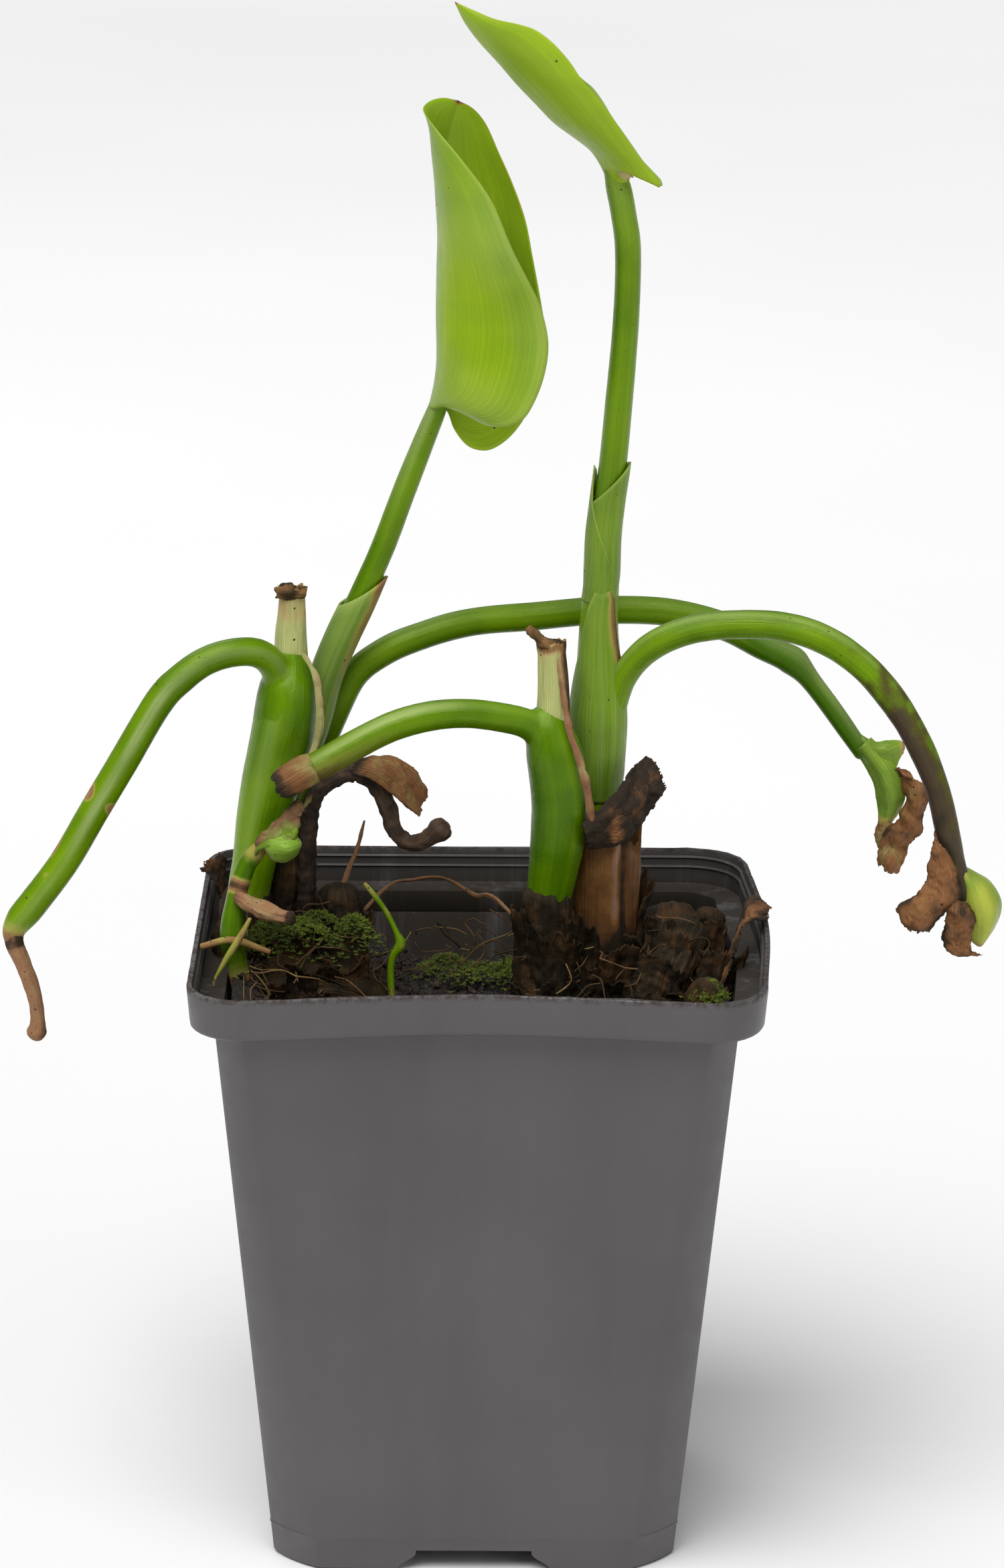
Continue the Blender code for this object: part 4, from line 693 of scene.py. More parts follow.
def melted(name, skin, cell, rounds, steps):
    """Overlapping tubes melted into one smooth body, with values painted from the nearest route.
    steps holds (stations, paint) for each tube."""
    source = bpy.data.objects.new(name + "_source", skin.mesh(name + "_source"))
    bpy.context.scene.collection.objects.link(source)
    remesh = source.modifiers.new("melt", "REMESH")
    remesh.mode = "VOXEL"
    remesh.voxel_size = cell * MM
    soften = source.modifiers.new("soften", "SMOOTH")
    soften.factor = 0.5
    soften.iterations = rounds
    bpy.context.view_layer.update()
    evaluated = source.evaluated_get(bpy.context.evaluated_depsgraph_get())
    mesh = bpy.data.meshes.new_from_object(evaluated)
    mesh.name = name
    bpy.data.objects.remove(source)
    stops = []
    for route, (stations, paint) in enumerate(steps):
        stops += [(route, paint, *f) for f in frames_along(stations, 0.8)]
    tree = kdtree.KDTree(len(stops))
    for i, stop in enumerate(stops):
        tree.insert(stop[2], i)
    tree.balance()
    grain, tone, decay, bloom_and_sheen = [], [], [], []
    for vert in mesh.vertices:
        best = min(
            (((vert.co - stops[i][2]).length / max(stops[i][3], 0.4), i) for _, i, _ in tree.find_n(vert.co, 8)),
        )[1]
        route, paint, centre, radius, direction, front, right, reach, share = stops[best]
        out = vert.co - centre
        angle = math.atan2(out.dot(right), out.dot(front)) % TAU
        grain.append((2.4 * math.cos(angle) + 5 * route, 2.4 * math.sin(angle), reach * 0.05))
        light, dead, waxy_and_sheen = (*paint(share, angle, vert.co), 0.0)[:3]
        tone.append(light)
        decay.append(dead)
        bloom_and_sheen.append(waxy_and_sheen)
    put_values(mesh, grain, tone, decay, bloom_and_sheen)
    mesh.shade_smooth()
    return mesh


def fibrous(depth, count=9, seed=0.0):
    """A tube's cross-section with lengthwise folds."""
    def swell(share, angle, spot):
        fold = noise.noise(Vector((count * 0.4 * math.cos(angle), count * 0.4 * math.sin(angle), share * 4 + seed)))
        return 1 + depth * fold + depth * 0.5 * wave(spot, 1.6, seed)
    return swell


def dented(depth, seed=0.0):
    """A tube's cross-section that is slightly uneven along its length."""
    def swell(share, angle, spot):
        return 1 + depth * wave(spot, 9, seed) + depth * 0.3 * wave(spot, 3, seed)
    return swell


def torn(u, v, depth, seed):
    """How far a torn border cuts in at this cell: true where the cell is left."""
    edge = min(u, 1 - u, v * 3, (1 - v) * 1.0)
    ragged = 0.5 + 0.5 * noise.noise(Vector((u * 9 + seed, v * 9, seed * 3.3)))
    ragged += 0.35 * noise.noise(Vector((u * 31, v * 31 + seed, 1.7)))
    return edge > depth * ragged


def crumpled(cage, down, across, depth, seed, size=3.0):
    """A fine grid on a cage, with folds and creases."""
    grid = refined(cage, down, across)
    found = []
    for i, row in enumerate(grid):
        line = []
        for j, spot in enumerate(row):
            a, b = row[max(j - 1, 0)], row[min(j + 1, across)]
            c, d = grid[max(i - 1, 0)][j], grid[min(i + 1, down)][j]
            out = (b - a).cross(d - c).normalized()
            lift = wave(spot, size, seed) + 0.5 * abs(wave(spot, size * 0.45, seed + 1)) - 0.2
            line.append(spot + out * lift * depth * MM)
        found.append(line)
    return found


def husk(skin, foot, top, radius, facing, spread, decay, seed):
    """A torn half tube of old leaf base, with a fibrous top edge."""
    rows, cols = 34, 40
    foot, top = Vector(foot), Vector(top)
    axis = (top - foot).normalized()
    front = (Vector((0, -1, 0)) - Vector((0, -1, 0)).dot(axis) * axis).normalized()
    right = axis.cross(front)
    ends = []
    for j in range(cols + 1):
        u = j / cols
        end = 0.84 + 0.2 * noise.noise(Vector((u * 3.4, seed * 2.3, 0))) + 0.1 * noise.noise(Vector((u * 13, seed, 4)))
        end += 0.07 * noise.noise(Vector((u * 41, seed, 9)))
        ends.append(end * smoothstep(-0.1, 0.12, min(u, 1 - u)))
    grid = []
    for i in range(rows + 1):
        row = []
        for j in range(cols + 1):
            u, v = j / cols, i / rows * ends[j]
            wobble = 1 + 0.1 * noise.noise(Vector((seed, v * 8, 1.0)))
            angle = math.radians(facing + (u - 0.5) * spread * wobble)
            out = front * math.cos(angle) + right * math.sin(angle)
            fold = noise.noise(Vector((u * 8 + seed, seed * 1.7, v * 1.6)))
            fibre = noise.noise(Vector((u * 34, seed * 1.3, v * 2.5)))
            curl = smoothstep(0.55, 1.0, v) * (0.18 + 0.4 * noise.noise(Vector((u * 2.6, seed * 3.1, 5))))
            spot = foot.lerp(top, v) + out * radius * (1 + curl + 0.15 * fold + 0.035 * fibre)
            spot += axis * 1.6 * noise.noise(Vector((u * 3, seed, v)))
            spot += out * 0.5 * noise.noise(Vector((u * 9, v * 11, seed)))
            row.append(place(*spot))
        grid.append(row)

    def paint(u, v, side, spot):
        streak = noise.noise(Vector((u * 14, seed, v * 1.5)))
        lift = decay + 0.1 * streak - 0.14 * v + 0.05 * side + 0.14 * wave(spot, 4, seed)
        return 0.5 + 0.4 * streak, min(max(lift, 0), 1)

    skin.shell(grid, 0.35, paint, fibres=12)


# Node groups and materials


def new_group(name, inputs, outputs):
    """An empty shader group with (socket type, name, default) inputs and (socket type, name) outputs."""
    group = bpy.data.node_groups.new(name, "ShaderNodeTree")
    for kind, label, default in inputs:
        made = group.interface.new_socket(name=label, in_out="INPUT", socket_type=kind)
        if default is not None:
            made.default_value = default
    for kind, label in outputs:
        group.interface.new_socket(name=label, in_out="OUTPUT", socket_type=kind)
    return group, group.nodes.new("NodeGroupInput").outputs, group.nodes.new("NodeGroupOutput").inputs


class Wiring:
    """Short ways to add and join nodes in one tree."""

    def __init__(self, tree):
        self.tree = tree

    def add(self, kind, **settings):
        node = self.tree.nodes.new(kind)
        for key, value in settings.items():
            setattr(node, key, value)
        return node

    def feed(self, socket, value):
        if isinstance(value, bpy.types.NodeSocket):
            self.tree.links.new(value, socket)
        elif value is not None:
            socket.default_value = value

    def math(self, operation, a, b=None, c=None, clamp=False):
        node = self.add("ShaderNodeMath", operation=operation, use_clamp=clamp)
        for socket, value in zip(node.inputs, (a, b, c)):
            self.feed(socket, value)
        return node.outputs[0]

    def vector(self, operation, a, b):
        node = self.add("ShaderNodeVectorMath", operation=operation)
        self.feed(node.inputs[0], a)
        self.feed(node.inputs[1], b)
        return node.outputs[0]

    def mix(self, factor, a, b, blend="MIX"):
        node = self.add("ShaderNodeMix", data_type="RGBA", blend_type=blend, clamp_factor=True)
        self.feed(node.inputs[0], factor)
        self.feed(node.inputs[6], a)
        self.feed(node.inputs[7], b)
        return node.outputs[2]

    def span(self, value, low, high, to_low=0.0, to_high=1.0):
        node = self.add("ShaderNodeMapRange", interpolation_type="SMOOTHSTEP", clamp=True)
        for socket, given in zip(node.inputs, (value, low, high, to_low, to_high)):
            self.feed(socket, given)
        return node.outputs[0]

    def noise(self, vector, scale, detail=2.0, rough=0.5):
        node = self.add("ShaderNodeTexNoise", noise_dimensions="3D")
        self.feed(node.inputs["Vector"], vector)
        self.feed(node.inputs["Scale"], scale)
        self.feed(node.inputs["Detail"], detail)
        self.feed(node.inputs["Roughness"], rough)
        return node.outputs[0]

    def group(self, tree, **values):
        node = self.add("ShaderNodeGroup", node_tree=tree)
        for key, value in values.items():
            self.feed(node.inputs[key.replace("_", " ")], value)
        return node.outputs

    def painted(self, name):
        return self.add("ShaderNodeAttribute", attribute_name=name, attribute_type="GEOMETRY").outputs


def lengthwise_veins():
    """Fine veins along the grain, broad soft bands, and a height for both."""
    group, given, out = new_group(
        "lengthwise_veins",
        [("NodeSocketVector", "Grain", None), ("NodeSocketFloat", "Fineness", 7.0)],
        [("NodeSocketFloat", "Veins"), ("NodeSocketFloat", "Bands")],
    )
    wiring = Wiring(group)
    flat = wiring.vector("MULTIPLY", given["Grain"], (1.0, 1.0, 0.12))
    fine = wiring.noise(flat, given["Fineness"], 1.5, 0.6)
    wiring.feed(out["Veins"], wiring.span(fine, 0.36, 0.64))
    wiring.feed(out["Bands"], wiring.span(wiring.noise(flat, 1.1, 2.0), 0.34, 0.66))
    return group


def uneven_patches():
    """Soft patches in the model's own space, a few to tens of millimetres wide, and finer mottling."""
    group, given, out = new_group(
        "uneven_patches", [("NodeSocketFloat", "Size", 10.0)],
        [("NodeSocketFloat", "Patches"), ("NodeSocketFloat", "Mottling")],
    )
    wiring = Wiring(group)
    here = wiring.add("ShaderNodeTexCoord").outputs["Object"]
    scale = wiring.math("DIVIDE", 1 / MM, given["Size"])
    wiring.feed(out["Patches"], wiring.span(wiring.noise(here, scale, 2.0), 0.34, 0.66))
    finer = wiring.math("MULTIPLY", scale, 8.0)
    wiring.feed(out["Mottling"], wiring.span(wiring.noise(here, finer, 3.0), 0.3, 0.7))
    return group


def dirt_specks():
    """Sparse dark crumbs of dirt with ragged outlines, as a mask. Amount is the share of cells with one."""
    group, given, out = new_group(
        "dirt_specks", [("NodeSocketFloat", "Spacing", 4.0), ("NodeSocketFloat", "Amount", 0.3)],
        [("NodeSocketFloat", "Specks")],
    )
    wiring = Wiring(group)
    here = wiring.add("ShaderNodeTexCoord").outputs["Object"]
    scale = wiring.math("DIVIDE", 1 / MM, given["Spacing"])
    cells = wiring.add("ShaderNodeTexVoronoi", voronoi_dimensions="3D")
    wiring.feed(cells.inputs["Vector"], here)
    wiring.feed(cells.inputs["Scale"], scale)
    chance = wiring.add("ShaderNodeSeparateColor")
    wiring.feed(chance.inputs[0], cells.outputs["Color"])
    clusters = wiring.span(wiring.noise(here, 60.0, 1.0), 0.35, 0.65, 0.3, 1.6)
    clustered = wiring.math("MULTIPLY", given["Amount"], clusters)
    there = wiring.math("LESS_THAN", chance.outputs[0], clustered)
    size = wiring.math("MULTIPLY_ADD", chance.outputs[1], 0.17, 0.04)
    ragged = wiring.math("MULTIPLY_ADD", wiring.noise(here, 2600.0, 2.0), 0.24, -0.12)
    gap = wiring.math("SUBTRACT", wiring.math("ADD", size, ragged), cells.outputs["Distance"])
    wiring.feed(out["Specks"], wiring.math("MULTIPLY", wiring.span(gap, 0.0, 0.03), there))
    return group


def ageing_tissue():
    """Fresh colour that yellows, dries to tan and turns dark as decay goes from 0 to 1."""
    group, given, out = new_group(
        "ageing_tissue",
        [("NodeSocketColor", "Fresh", None), ("NodeSocketColor", "Yellowed", (0.36, 0.33, 0.07, 1)),
         ("NodeSocketColor", "Dry", (0.32, 0.15, 0.07, 1)), ("NodeSocketColor", "Dark", (0.022, 0.013, 0.011, 1)),
         ("NodeSocketFloat", "Decay", 0.0), ("NodeSocketFloat", "Unevenness", 0.3),
         ("NodeSocketFloat", "Fresh Roughness", 0.35), ("NodeSocketFloat", "Dry Roughness", 0.34)],
        [("NodeSocketColor", "Color"), ("NodeSocketFloat", "Roughness"), ("NodeSocketFloat", "Dryness")],
    )
    wiring = Wiring(group)
    here = wiring.add("ShaderNodeTexCoord").outputs["Object"]
    broken = wiring.math("SUBTRACT", wiring.noise(here, 420.0, 4.0, 0.62), 0.5)
    shift = wiring.math("MULTIPLY", broken, given["Unevenness"])
    started = wiring.span(given["Decay"], 0.0, 0.12)
    age = wiring.math("ADD", given["Decay"], wiring.math("MULTIPLY", shift, started), clamp=True)
    colour = wiring.mix(wiring.span(age, 0.06, 0.34), given["Fresh"], given["Yellowed"])
    colour = wiring.mix(wiring.span(age, 0.3, 0.56), colour, given["Dry"])
    colour = wiring.mix(wiring.span(age, 0.6, 0.95), colour, given["Dark"])
    dryness = wiring.span(age, 0.15, 0.6)
    wiring.feed(out["Color"], colour)
    dulled = wiring.math("MULTIPLY_ADD", dryness, given["Dry Roughness"], given["Fresh Roughness"])
    wiring.feed(out["Roughness"], dulled)
    wiring.feed(out["Dryness"], dryness)
    return group


GROUPS = {}


def group_named(name):
    """One shared node group, built the first time that a material asks for it."""
    makers = {
        "lengthwise_veins": lengthwise_veins, "uneven_patches": uneven_patches,
        "dirt_specks": dirt_specks, "ageing_tissue": ageing_tissue,
    }
    if name not in GROUPS:
        GROUPS[name] = makers[name]()
    return GROUPS[name]


def blank_material(name):
    material = bpy.data.materials.new(name)
    material.use_nodes = True
    return material, Wiring(material.node_tree), material.node_tree.nodes["Principled BSDF"].inputs


def rgba(colour):
    return (*colour[:3], 1.0)


def tissue_material(name, deep, light, fineness=7.0, vein_depth=0.25, roughness=0.36, specks=0.06,
                    dry=(0.32, 0.15, 0.07), dark=(0.022, 0.013, 0.011), yellowed=(0.36, 0.33, 0.07),
                    unevenness=0.3, relief=0.25, translucency=0.05, spacing=1.2, gloss=0.4, banding=0.2,
                    pale=(0.36, 0.45, 0.2), dry_roughness=0.34, shine=(0.85, 0.95, 0.4), streaks=0.3):
    """Living or dead plant tissue that follows the painted grain, tone, decay, and the pale waxy film with its painted
    sheen and highlight stripes.
    """
    material, wiring, shader = blank_material(name)
    grain = wiring.painted("grain")["Vector"]
    tone = wiring.painted("tone")["Fac"]
    decay = wiring.painted("decay")["Fac"]
    bloom_and_sheen = wiring.painted("bloom_and_sheen")["Fac"]
    veins = wiring.group(group_named("lengthwise_veins"), Grain=grain, Fineness=fineness)
    patches = wiring.group(group_named("uneven_patches"), Size=14.0)
    dirt = wiring.group(group_named("dirt_specks"), Spacing=spacing, Amount=specks)
    shift = wiring.math("MULTIPLY_ADD", patches["Patches"], 0.3, -0.15)
    shift = wiring.math("ADD", shift, wiring.math("MULTIPLY_ADD", veins["Bands"], banding, -0.5 * banding))
    green = wiring.mix(wiring.math("ADD", tone, shift, clamp=True), rgba(deep), rgba(light))
    veined = wiring.mix(wiring.math("MULTIPLY", veins["Veins"], vein_depth), green, rgba([0.6 * c for c in deep]))
    # The pale colour mixed in here is the waxy film together with the painted sheen and highlight stripes.
    waxy_and_sheen = wiring.math("MULTIPLY", bloom_and_sheen, wiring.math("MULTIPLY_ADD", veins["Veins"], -0.35, 1.0))
    with_bloom_and_sheen = wiring.mix(waxy_and_sheen, veined, rgba(pale))
    aged = wiring.group(
        group_named("ageing_tissue"), Fresh=with_bloom_and_sheen, Yellowed=rgba(yellowed), Dry=rgba(dry), Dark=rgba(dark),
        Decay=decay, Unevenness=unevenness, Fresh_Roughness=roughness, Dry_Roughness=dry_roughness,
    )
    streaked = wiring.math("MULTIPLY", wiring.math("MULTIPLY", veins["Veins"], aged["Dryness"]), streaks)
    colour = wiring.mix(streaked, aged["Color"], rgba(dark))
    colour = wiring.mix(dirt["Specks"], colour, (0.03, 0.02, 0.012, 1))
    wiring.feed(shader["Base Color"], colour)
    grit = wiring.math("MULTIPLY_ADD", patches["Mottling"], 0.1, aged["Roughness"])
    wiring.feed(shader["Roughness"], wiring.math("MULTIPLY_ADD", dirt["Specks"], 0.3, grit, clamp=True))
    height = wiring.math("MULTIPLY_ADD", patches["Mottling"], 0.5, veins["Veins"])
    height = wiring.math("MULTIPLY_ADD", dirt["Specks"], 2.0, height)
    bump = wiring.add("ShaderNodeBump")
    bump.inputs["Strength"].default_value = relief
    bump.inputs["Distance"].default_value = 0.25 * MM
    wiring.feed(bump.inputs["Height"], height)
    wiring.feed(shader["Normal"], bump.outputs[0])
    shader["Subsurface Weight"].default_value = translucency
    shader["Subsurface Radius"].default_value = (0.5, 1.0, 0.15)
    shader["Subsurface Scale"].default_value = 1.5 * MM
    shader["Specular IOR Level"].default_value = gloss
    shader["Specular Tint"].default_value = rgba(shine)
    return material


def pot_material(settings):
    """Grey moulded plastic with faint upright bands, patches of dust, and dirt on the rim and the inner wall."""
    material, wiring, shader = blank_material("moulded_grey_plastic")
    here = wiring.add("ShaderNodeTexCoord").outputs["Object"]
    tone = wiring.painted("tone")["Fac"]
    height = wiring.add("ShaderNodeSeparateXYZ")
    wiring.feed(height.inputs[0], here)
    upright = wiring.vector("MULTIPLY", here, (1.0, 1.0, 0.04))
    bands = wiring.noise(upright, 160.0, 3.0, 0.7)
    broad = wiring.noise(upright, 38.0, 1.0)
    patches = wiring.group(group_named("uneven_patches"), Size=30.0)
    base = rgba(settings.plastic)
    colour = wiring.mix(wiring.span(bands, 0.3, 0.7), rgba([0.93 * c for c in settings.plastic]), base)
    colour = wiring.mix(wiring.span(broad, 0.35, 0.65, 0.0, 0.5), colour, rgba([1.1 * c for c in settings.plastic]))
    colour = wiring.mix(wiring.math("MULTIPLY", patches["Patches"], 0.16), colour, rgba(settings.dust))
    near_rim = wiring.span(height.outputs["Z"], (RIM_HEIGHT - 1.4) * MM, (RIM_HEIGHT - 0.1) * MM)
    crust = wiring.span(wiring.noise(here, 700.0, 4.0, 0.7), 0.42, 0.6)
    rim_dirt = wiring.math("MULTIPLY", wiring.math("MULTIPLY", near_rim, crust), settings.rim_dirt)
    stain = wiring.span(wiring.noise(upright, 150.0, 4.0, 0.65), 0.25, 0.5)
    sinking = wiring.span(height.outputs["Z"], (RIM_HEIGHT - 2) * MM, (RIM_HEIGHT - 9) * MM, 0.5, 1.0)
    inner = wiring.math("MULTIPLY", wiring.math("MULTIPLY", stain, tone), sinking)
    crumbs = wiring.group(group_named("dirt_specks"), Spacing=1.2, Amount=0.3)
    inner_specks = wiring.math("MULTIPLY", crumbs["Specks"], tone)
    colour = wiring.mix(inner, colour, rgba(settings.algae))
    colour = wiring.mix(inner_specks, colour, (0.07, 0.045, 0.03, 1))
    colour = wiring.mix(rim_dirt, colour, (0.035, 0.022, 0.016, 1))
    wiring.feed(shader["Base Color"], colour)
    dirty = wiring.math("MAXIMUM", rim_dirt, wiring.math("MAXIMUM", inner, inner_specks))
    rough = wiring.math("MULTIPLY_ADD", patches["Mottling"], 0.08, 0.4)
    wiring.feed(shader["Roughness"], wiring.math("MULTIPLY_ADD", dirty, 0.35, rough, clamp=True))
    relief = wiring.math("MULTIPLY_ADD", wiring.noise(here, 1600.0, 2.0), 0.35, wiring.math("MULTIPLY", bands, 0.9))
    relief = wiring.math("MULTIPLY_ADD", dirty, 1.5, relief)
    bump = wiring.add("ShaderNodeBump")
    bump.inputs["Strength"].default_value = 0.25
    bump.inputs["Distance"].default_value = 0.12 * MM
    wiring.feed(bump.inputs["Height"], relief)
    wiring.feed(shader["Normal"], bump.outputs[0])
    return material


def soil_material(settings):
    """Dark, moist potting mix with lighter crumbs."""
    material, wiring, shader = blank_material("potting_mix")
    patches = wiring.group(group_named("uneven_patches"), Size=6.0)
    crumbs = wiring.group(group_named("dirt_specks"), Spacing=0.9, Amount=0.5)
    tone = wiring.painted("tone")["Fac"]
    dark = rgba([0.45 * c for c in settings.soil])
    colour = wiring.mix(patches["Mottling"], dark, rgba(settings.soil))
    lighter = rgba([1.5 * c for c in settings.soil])
    colour = wiring.mix(wiring.math("MULTIPLY", patches["Patches"], 0.5), colour, lighter)
    colour = wiring.mix(wiring.span(tone, 0.55, 1.0), colour, rgba(settings.bark))
    colour = wiring.mix(wiring.math("MULTIPLY", crumbs["Specks"], 0.5), colour, rgba(settings.bark))
    wiring.feed(shader["Base Color"], colour)
    wiring.feed(shader["Roughness"], wiring.math("MULTIPLY_ADD", patches["Mottling"], -0.25, 0.9))
    bump = wiring.add("ShaderNodeBump")
    bump.inputs["Strength"].default_value = 0.8
    bump.inputs["Distance"].default_value = 0.5 * MM
    wiring.feed(bump.inputs["Height"], wiring.math("ADD", patches["Mottling"], crumbs["Specks"]))
    wiring.feed(shader["Normal"], bump.outputs[0])
    return material


def moss_material(settings):
    """Moss whose tufts range from dark green to yellow-green."""
    material, wiring, shader = blank_material("cushion_moss")
    tone = wiring.painted("tone")["Fac"]
    patches = wiring.group(group_named("uneven_patches"), Size=5.0)
    shade = wiring.math("MULTIPLY_ADD", patches["Patches"], 0.4, wiring.math("ADD", tone, -0.2), clamp=True)
    wiring.feed(shader["Base Color"], wiring.mix(shade, rgba(settings.moss_dark), rgba(settings.moss_light)))
    wiring.feed(shader["Roughness"], wiring.math("MULTIPLY_ADD", patches["Mottling"], 0.2, 0.6))
    return material


# Pot and soil


def pot_ring(z, width, corner, roundness, share, inset=0.0):
    """One level of the pot: roundness 1 gives round corners and 0 flat chamfers."""
    half = width / 2 - inset
    leg = max(corner - 0.6 * inset, 1.0)
    ring = []
    for quarter in range(4):
        turn = math.radians(90 * quarter)
        local = []
        for i in range(CORNER_STEPS + 1):
            t = i / CORNER_STEPS
            angle = math.pi / 2 * t
            arc = (half - leg + leg * math.cos(angle), half - leg + leg * math.sin(angle))
            flat = (half - leg * t, half - leg * (1 - t))
            local.append([roundness * a + (1 - roundness) * b for a, b in zip(arc, flat)])
        for i in range(1, SIDE_STEPS):
            local.append([(half - leg) * (1 - 2 * i / SIDE_STEPS), half])
        for x, y in local:
            ring.append([x * math.cos(turn) - y * math.sin(turn), x * math.sin(turn) + y * math.cos(turn)])
    for point in ring:
        x, y = point
        if y < -half + 0.01:
            point[1] += FRONT_BOW * share * math.cos(math.pi * x / (2 * half)) ** 2
        if x > half - 0.01:
            point[0] += RIGHT_BULGE * share * math.cos(math.pi * y / (2 * half)) ** 2
    return [place(x, y, z) for x, y in ring]


def body_at(z, inset=0.0):
    t = min(max(z / LIP_BOTTOM, 0), 1)
    width = BODY_FOOT_WIDTH + (BODY_TOP_WIDTH - BODY_FOOT_WIDTH) * t
    return pot_ring(z, width, CHAMFER_FOOT + (CHAMFER_TOP - CHAMFER_FOOT) * t, 0.3, t, inset)


def lip_at(z, inset=0.0):
    drop = (RIM_HEIGHT - z) / (RIM_HEIGHT - LIP_BOTTOM)
    return pot_ring(z, RIM_WIDTH - 2 * LIP_DRAFT * drop, RIM_CORNER, 1, 1, inset)


def loft(name, rings):
    """A closed body through rings of equal count, as an object that Booleans can use."""
    shape = bmesh.new()
    levels = [[shape.verts.new(point) for point in ring] for ring in rings]
    for low, high in zip(levels, levels[1:]):
        for i in range(len(low)):
            j = (i + 1) % len(low)
            shape.faces.new((low[i], low[j], high[j], high[i]))
    shape.faces.new(reversed(levels[0]))
    shape.faces.new(levels[-1])
    return cutter(name, shape)


def cutter(name, shape):
    bmesh.ops.recalc_face_normals(shape, faces=shape.faces)
    mesh = bpy.data.meshes.new(name)
    shape.to_mesh(mesh)
    shape.free()
    obj = bpy.data.objects.new(name, mesh)
    bpy.context.scene.collection.objects.link(obj)
    return obj


def channel(name, grow, along_x):
    """The raised channel between the feet, right across the base."""
    outline = []
    for i in range(13):
        z = (FOOT_HEIGHT + grow) * i / 12
        t = min(max((z - 0.4) / (FOOT_HEIGHT - 1.0), 0), 1)
        blend = t * t * (3 - 2 * t)
        outline.append((NOTCH_FOOT / 2 + grow + (NOTCH_TOP - NOTCH_FOOT) / 2 * blend, z))
    outline = [(outline[0][0], -2.0), *outline]
    outline += [(-x, z) for x, z in reversed(outline)]
    reach = RIM_WIDTH / 2
    shape = bmesh.new()
    ends = []
    for side in (-reach, reach):
        spots = [(side, a, z) if along_x else (a, side, z) for a, z in outline]
        ends.append([shape.verts.new(place(*spot)) for spot in spots])
    for i in range(len(outline)):
        j = (i + 1) % len(outline)
        shape.faces.new((ends[0][i], ends[0][j], ends[1][j], ends[1][i]))
    shape.faces.new(ends[0])
    shape.faces.new(reversed(ends[1]))
    return cutter(name, shape)


def drill(name, x, y):
    shape = bmesh.new()
    bmesh.ops.create_cone(
        shape, cap_ends=True, segments=32, radius1=DRAIN_HOLE / 2 * MM, radius2=DRAIN_HOLE / 2 * MM, depth=16 * MM
    )
    bmesh.ops.translate(shape, verts=shape.verts, vec=place(x, y, 0))
    return cutter(name, shape)


def subtract(obj, other):
    step = obj.modifiers.new("cut", "BOOLEAN")
    step.operation = "DIFFERENCE"
    step.solver = "EXACT"
    step.object = other


def inner_profile():
    """The inside of the pot from the floor up, with the small moulded ridges under the rim."""
    rings = [body_at(1.2, WALL + 0.8), body_at(2.4, WALL), body_at(60, WALL), body_at(LIP_BOTTOM - 4.2, WALL)]
    rings += [body_at(LIP_BOTTOM - 3.8, WALL - 0.25), body_at(LIP_BOTTOM - 3.4, WALL)]
    rings += [body_at(LIP_BOTTOM + 0.6, WALL), lip_at(LIP_BOTTOM + 1.0, WALL + 0.4), lip_at(LIP_BOTTOM + 1.3, WALL)]
    for ridge in (LIP_BOTTOM + 4.6, LIP_BOTTOM + 6.6):
        rings += [lip_at(ridge - 0.35, WALL), lip_at(ridge, WALL + 0.4), lip_at(ridge + 0.35, WALL)]
    return [*rings, lip_at(RIM_HEIGHT - 0.4, WALL), lip_at(RIM_HEIGHT - 0.1, WALL - 0.1),
            lip_at(RIM_HEIGHT + 2, WALL - 0.1)]


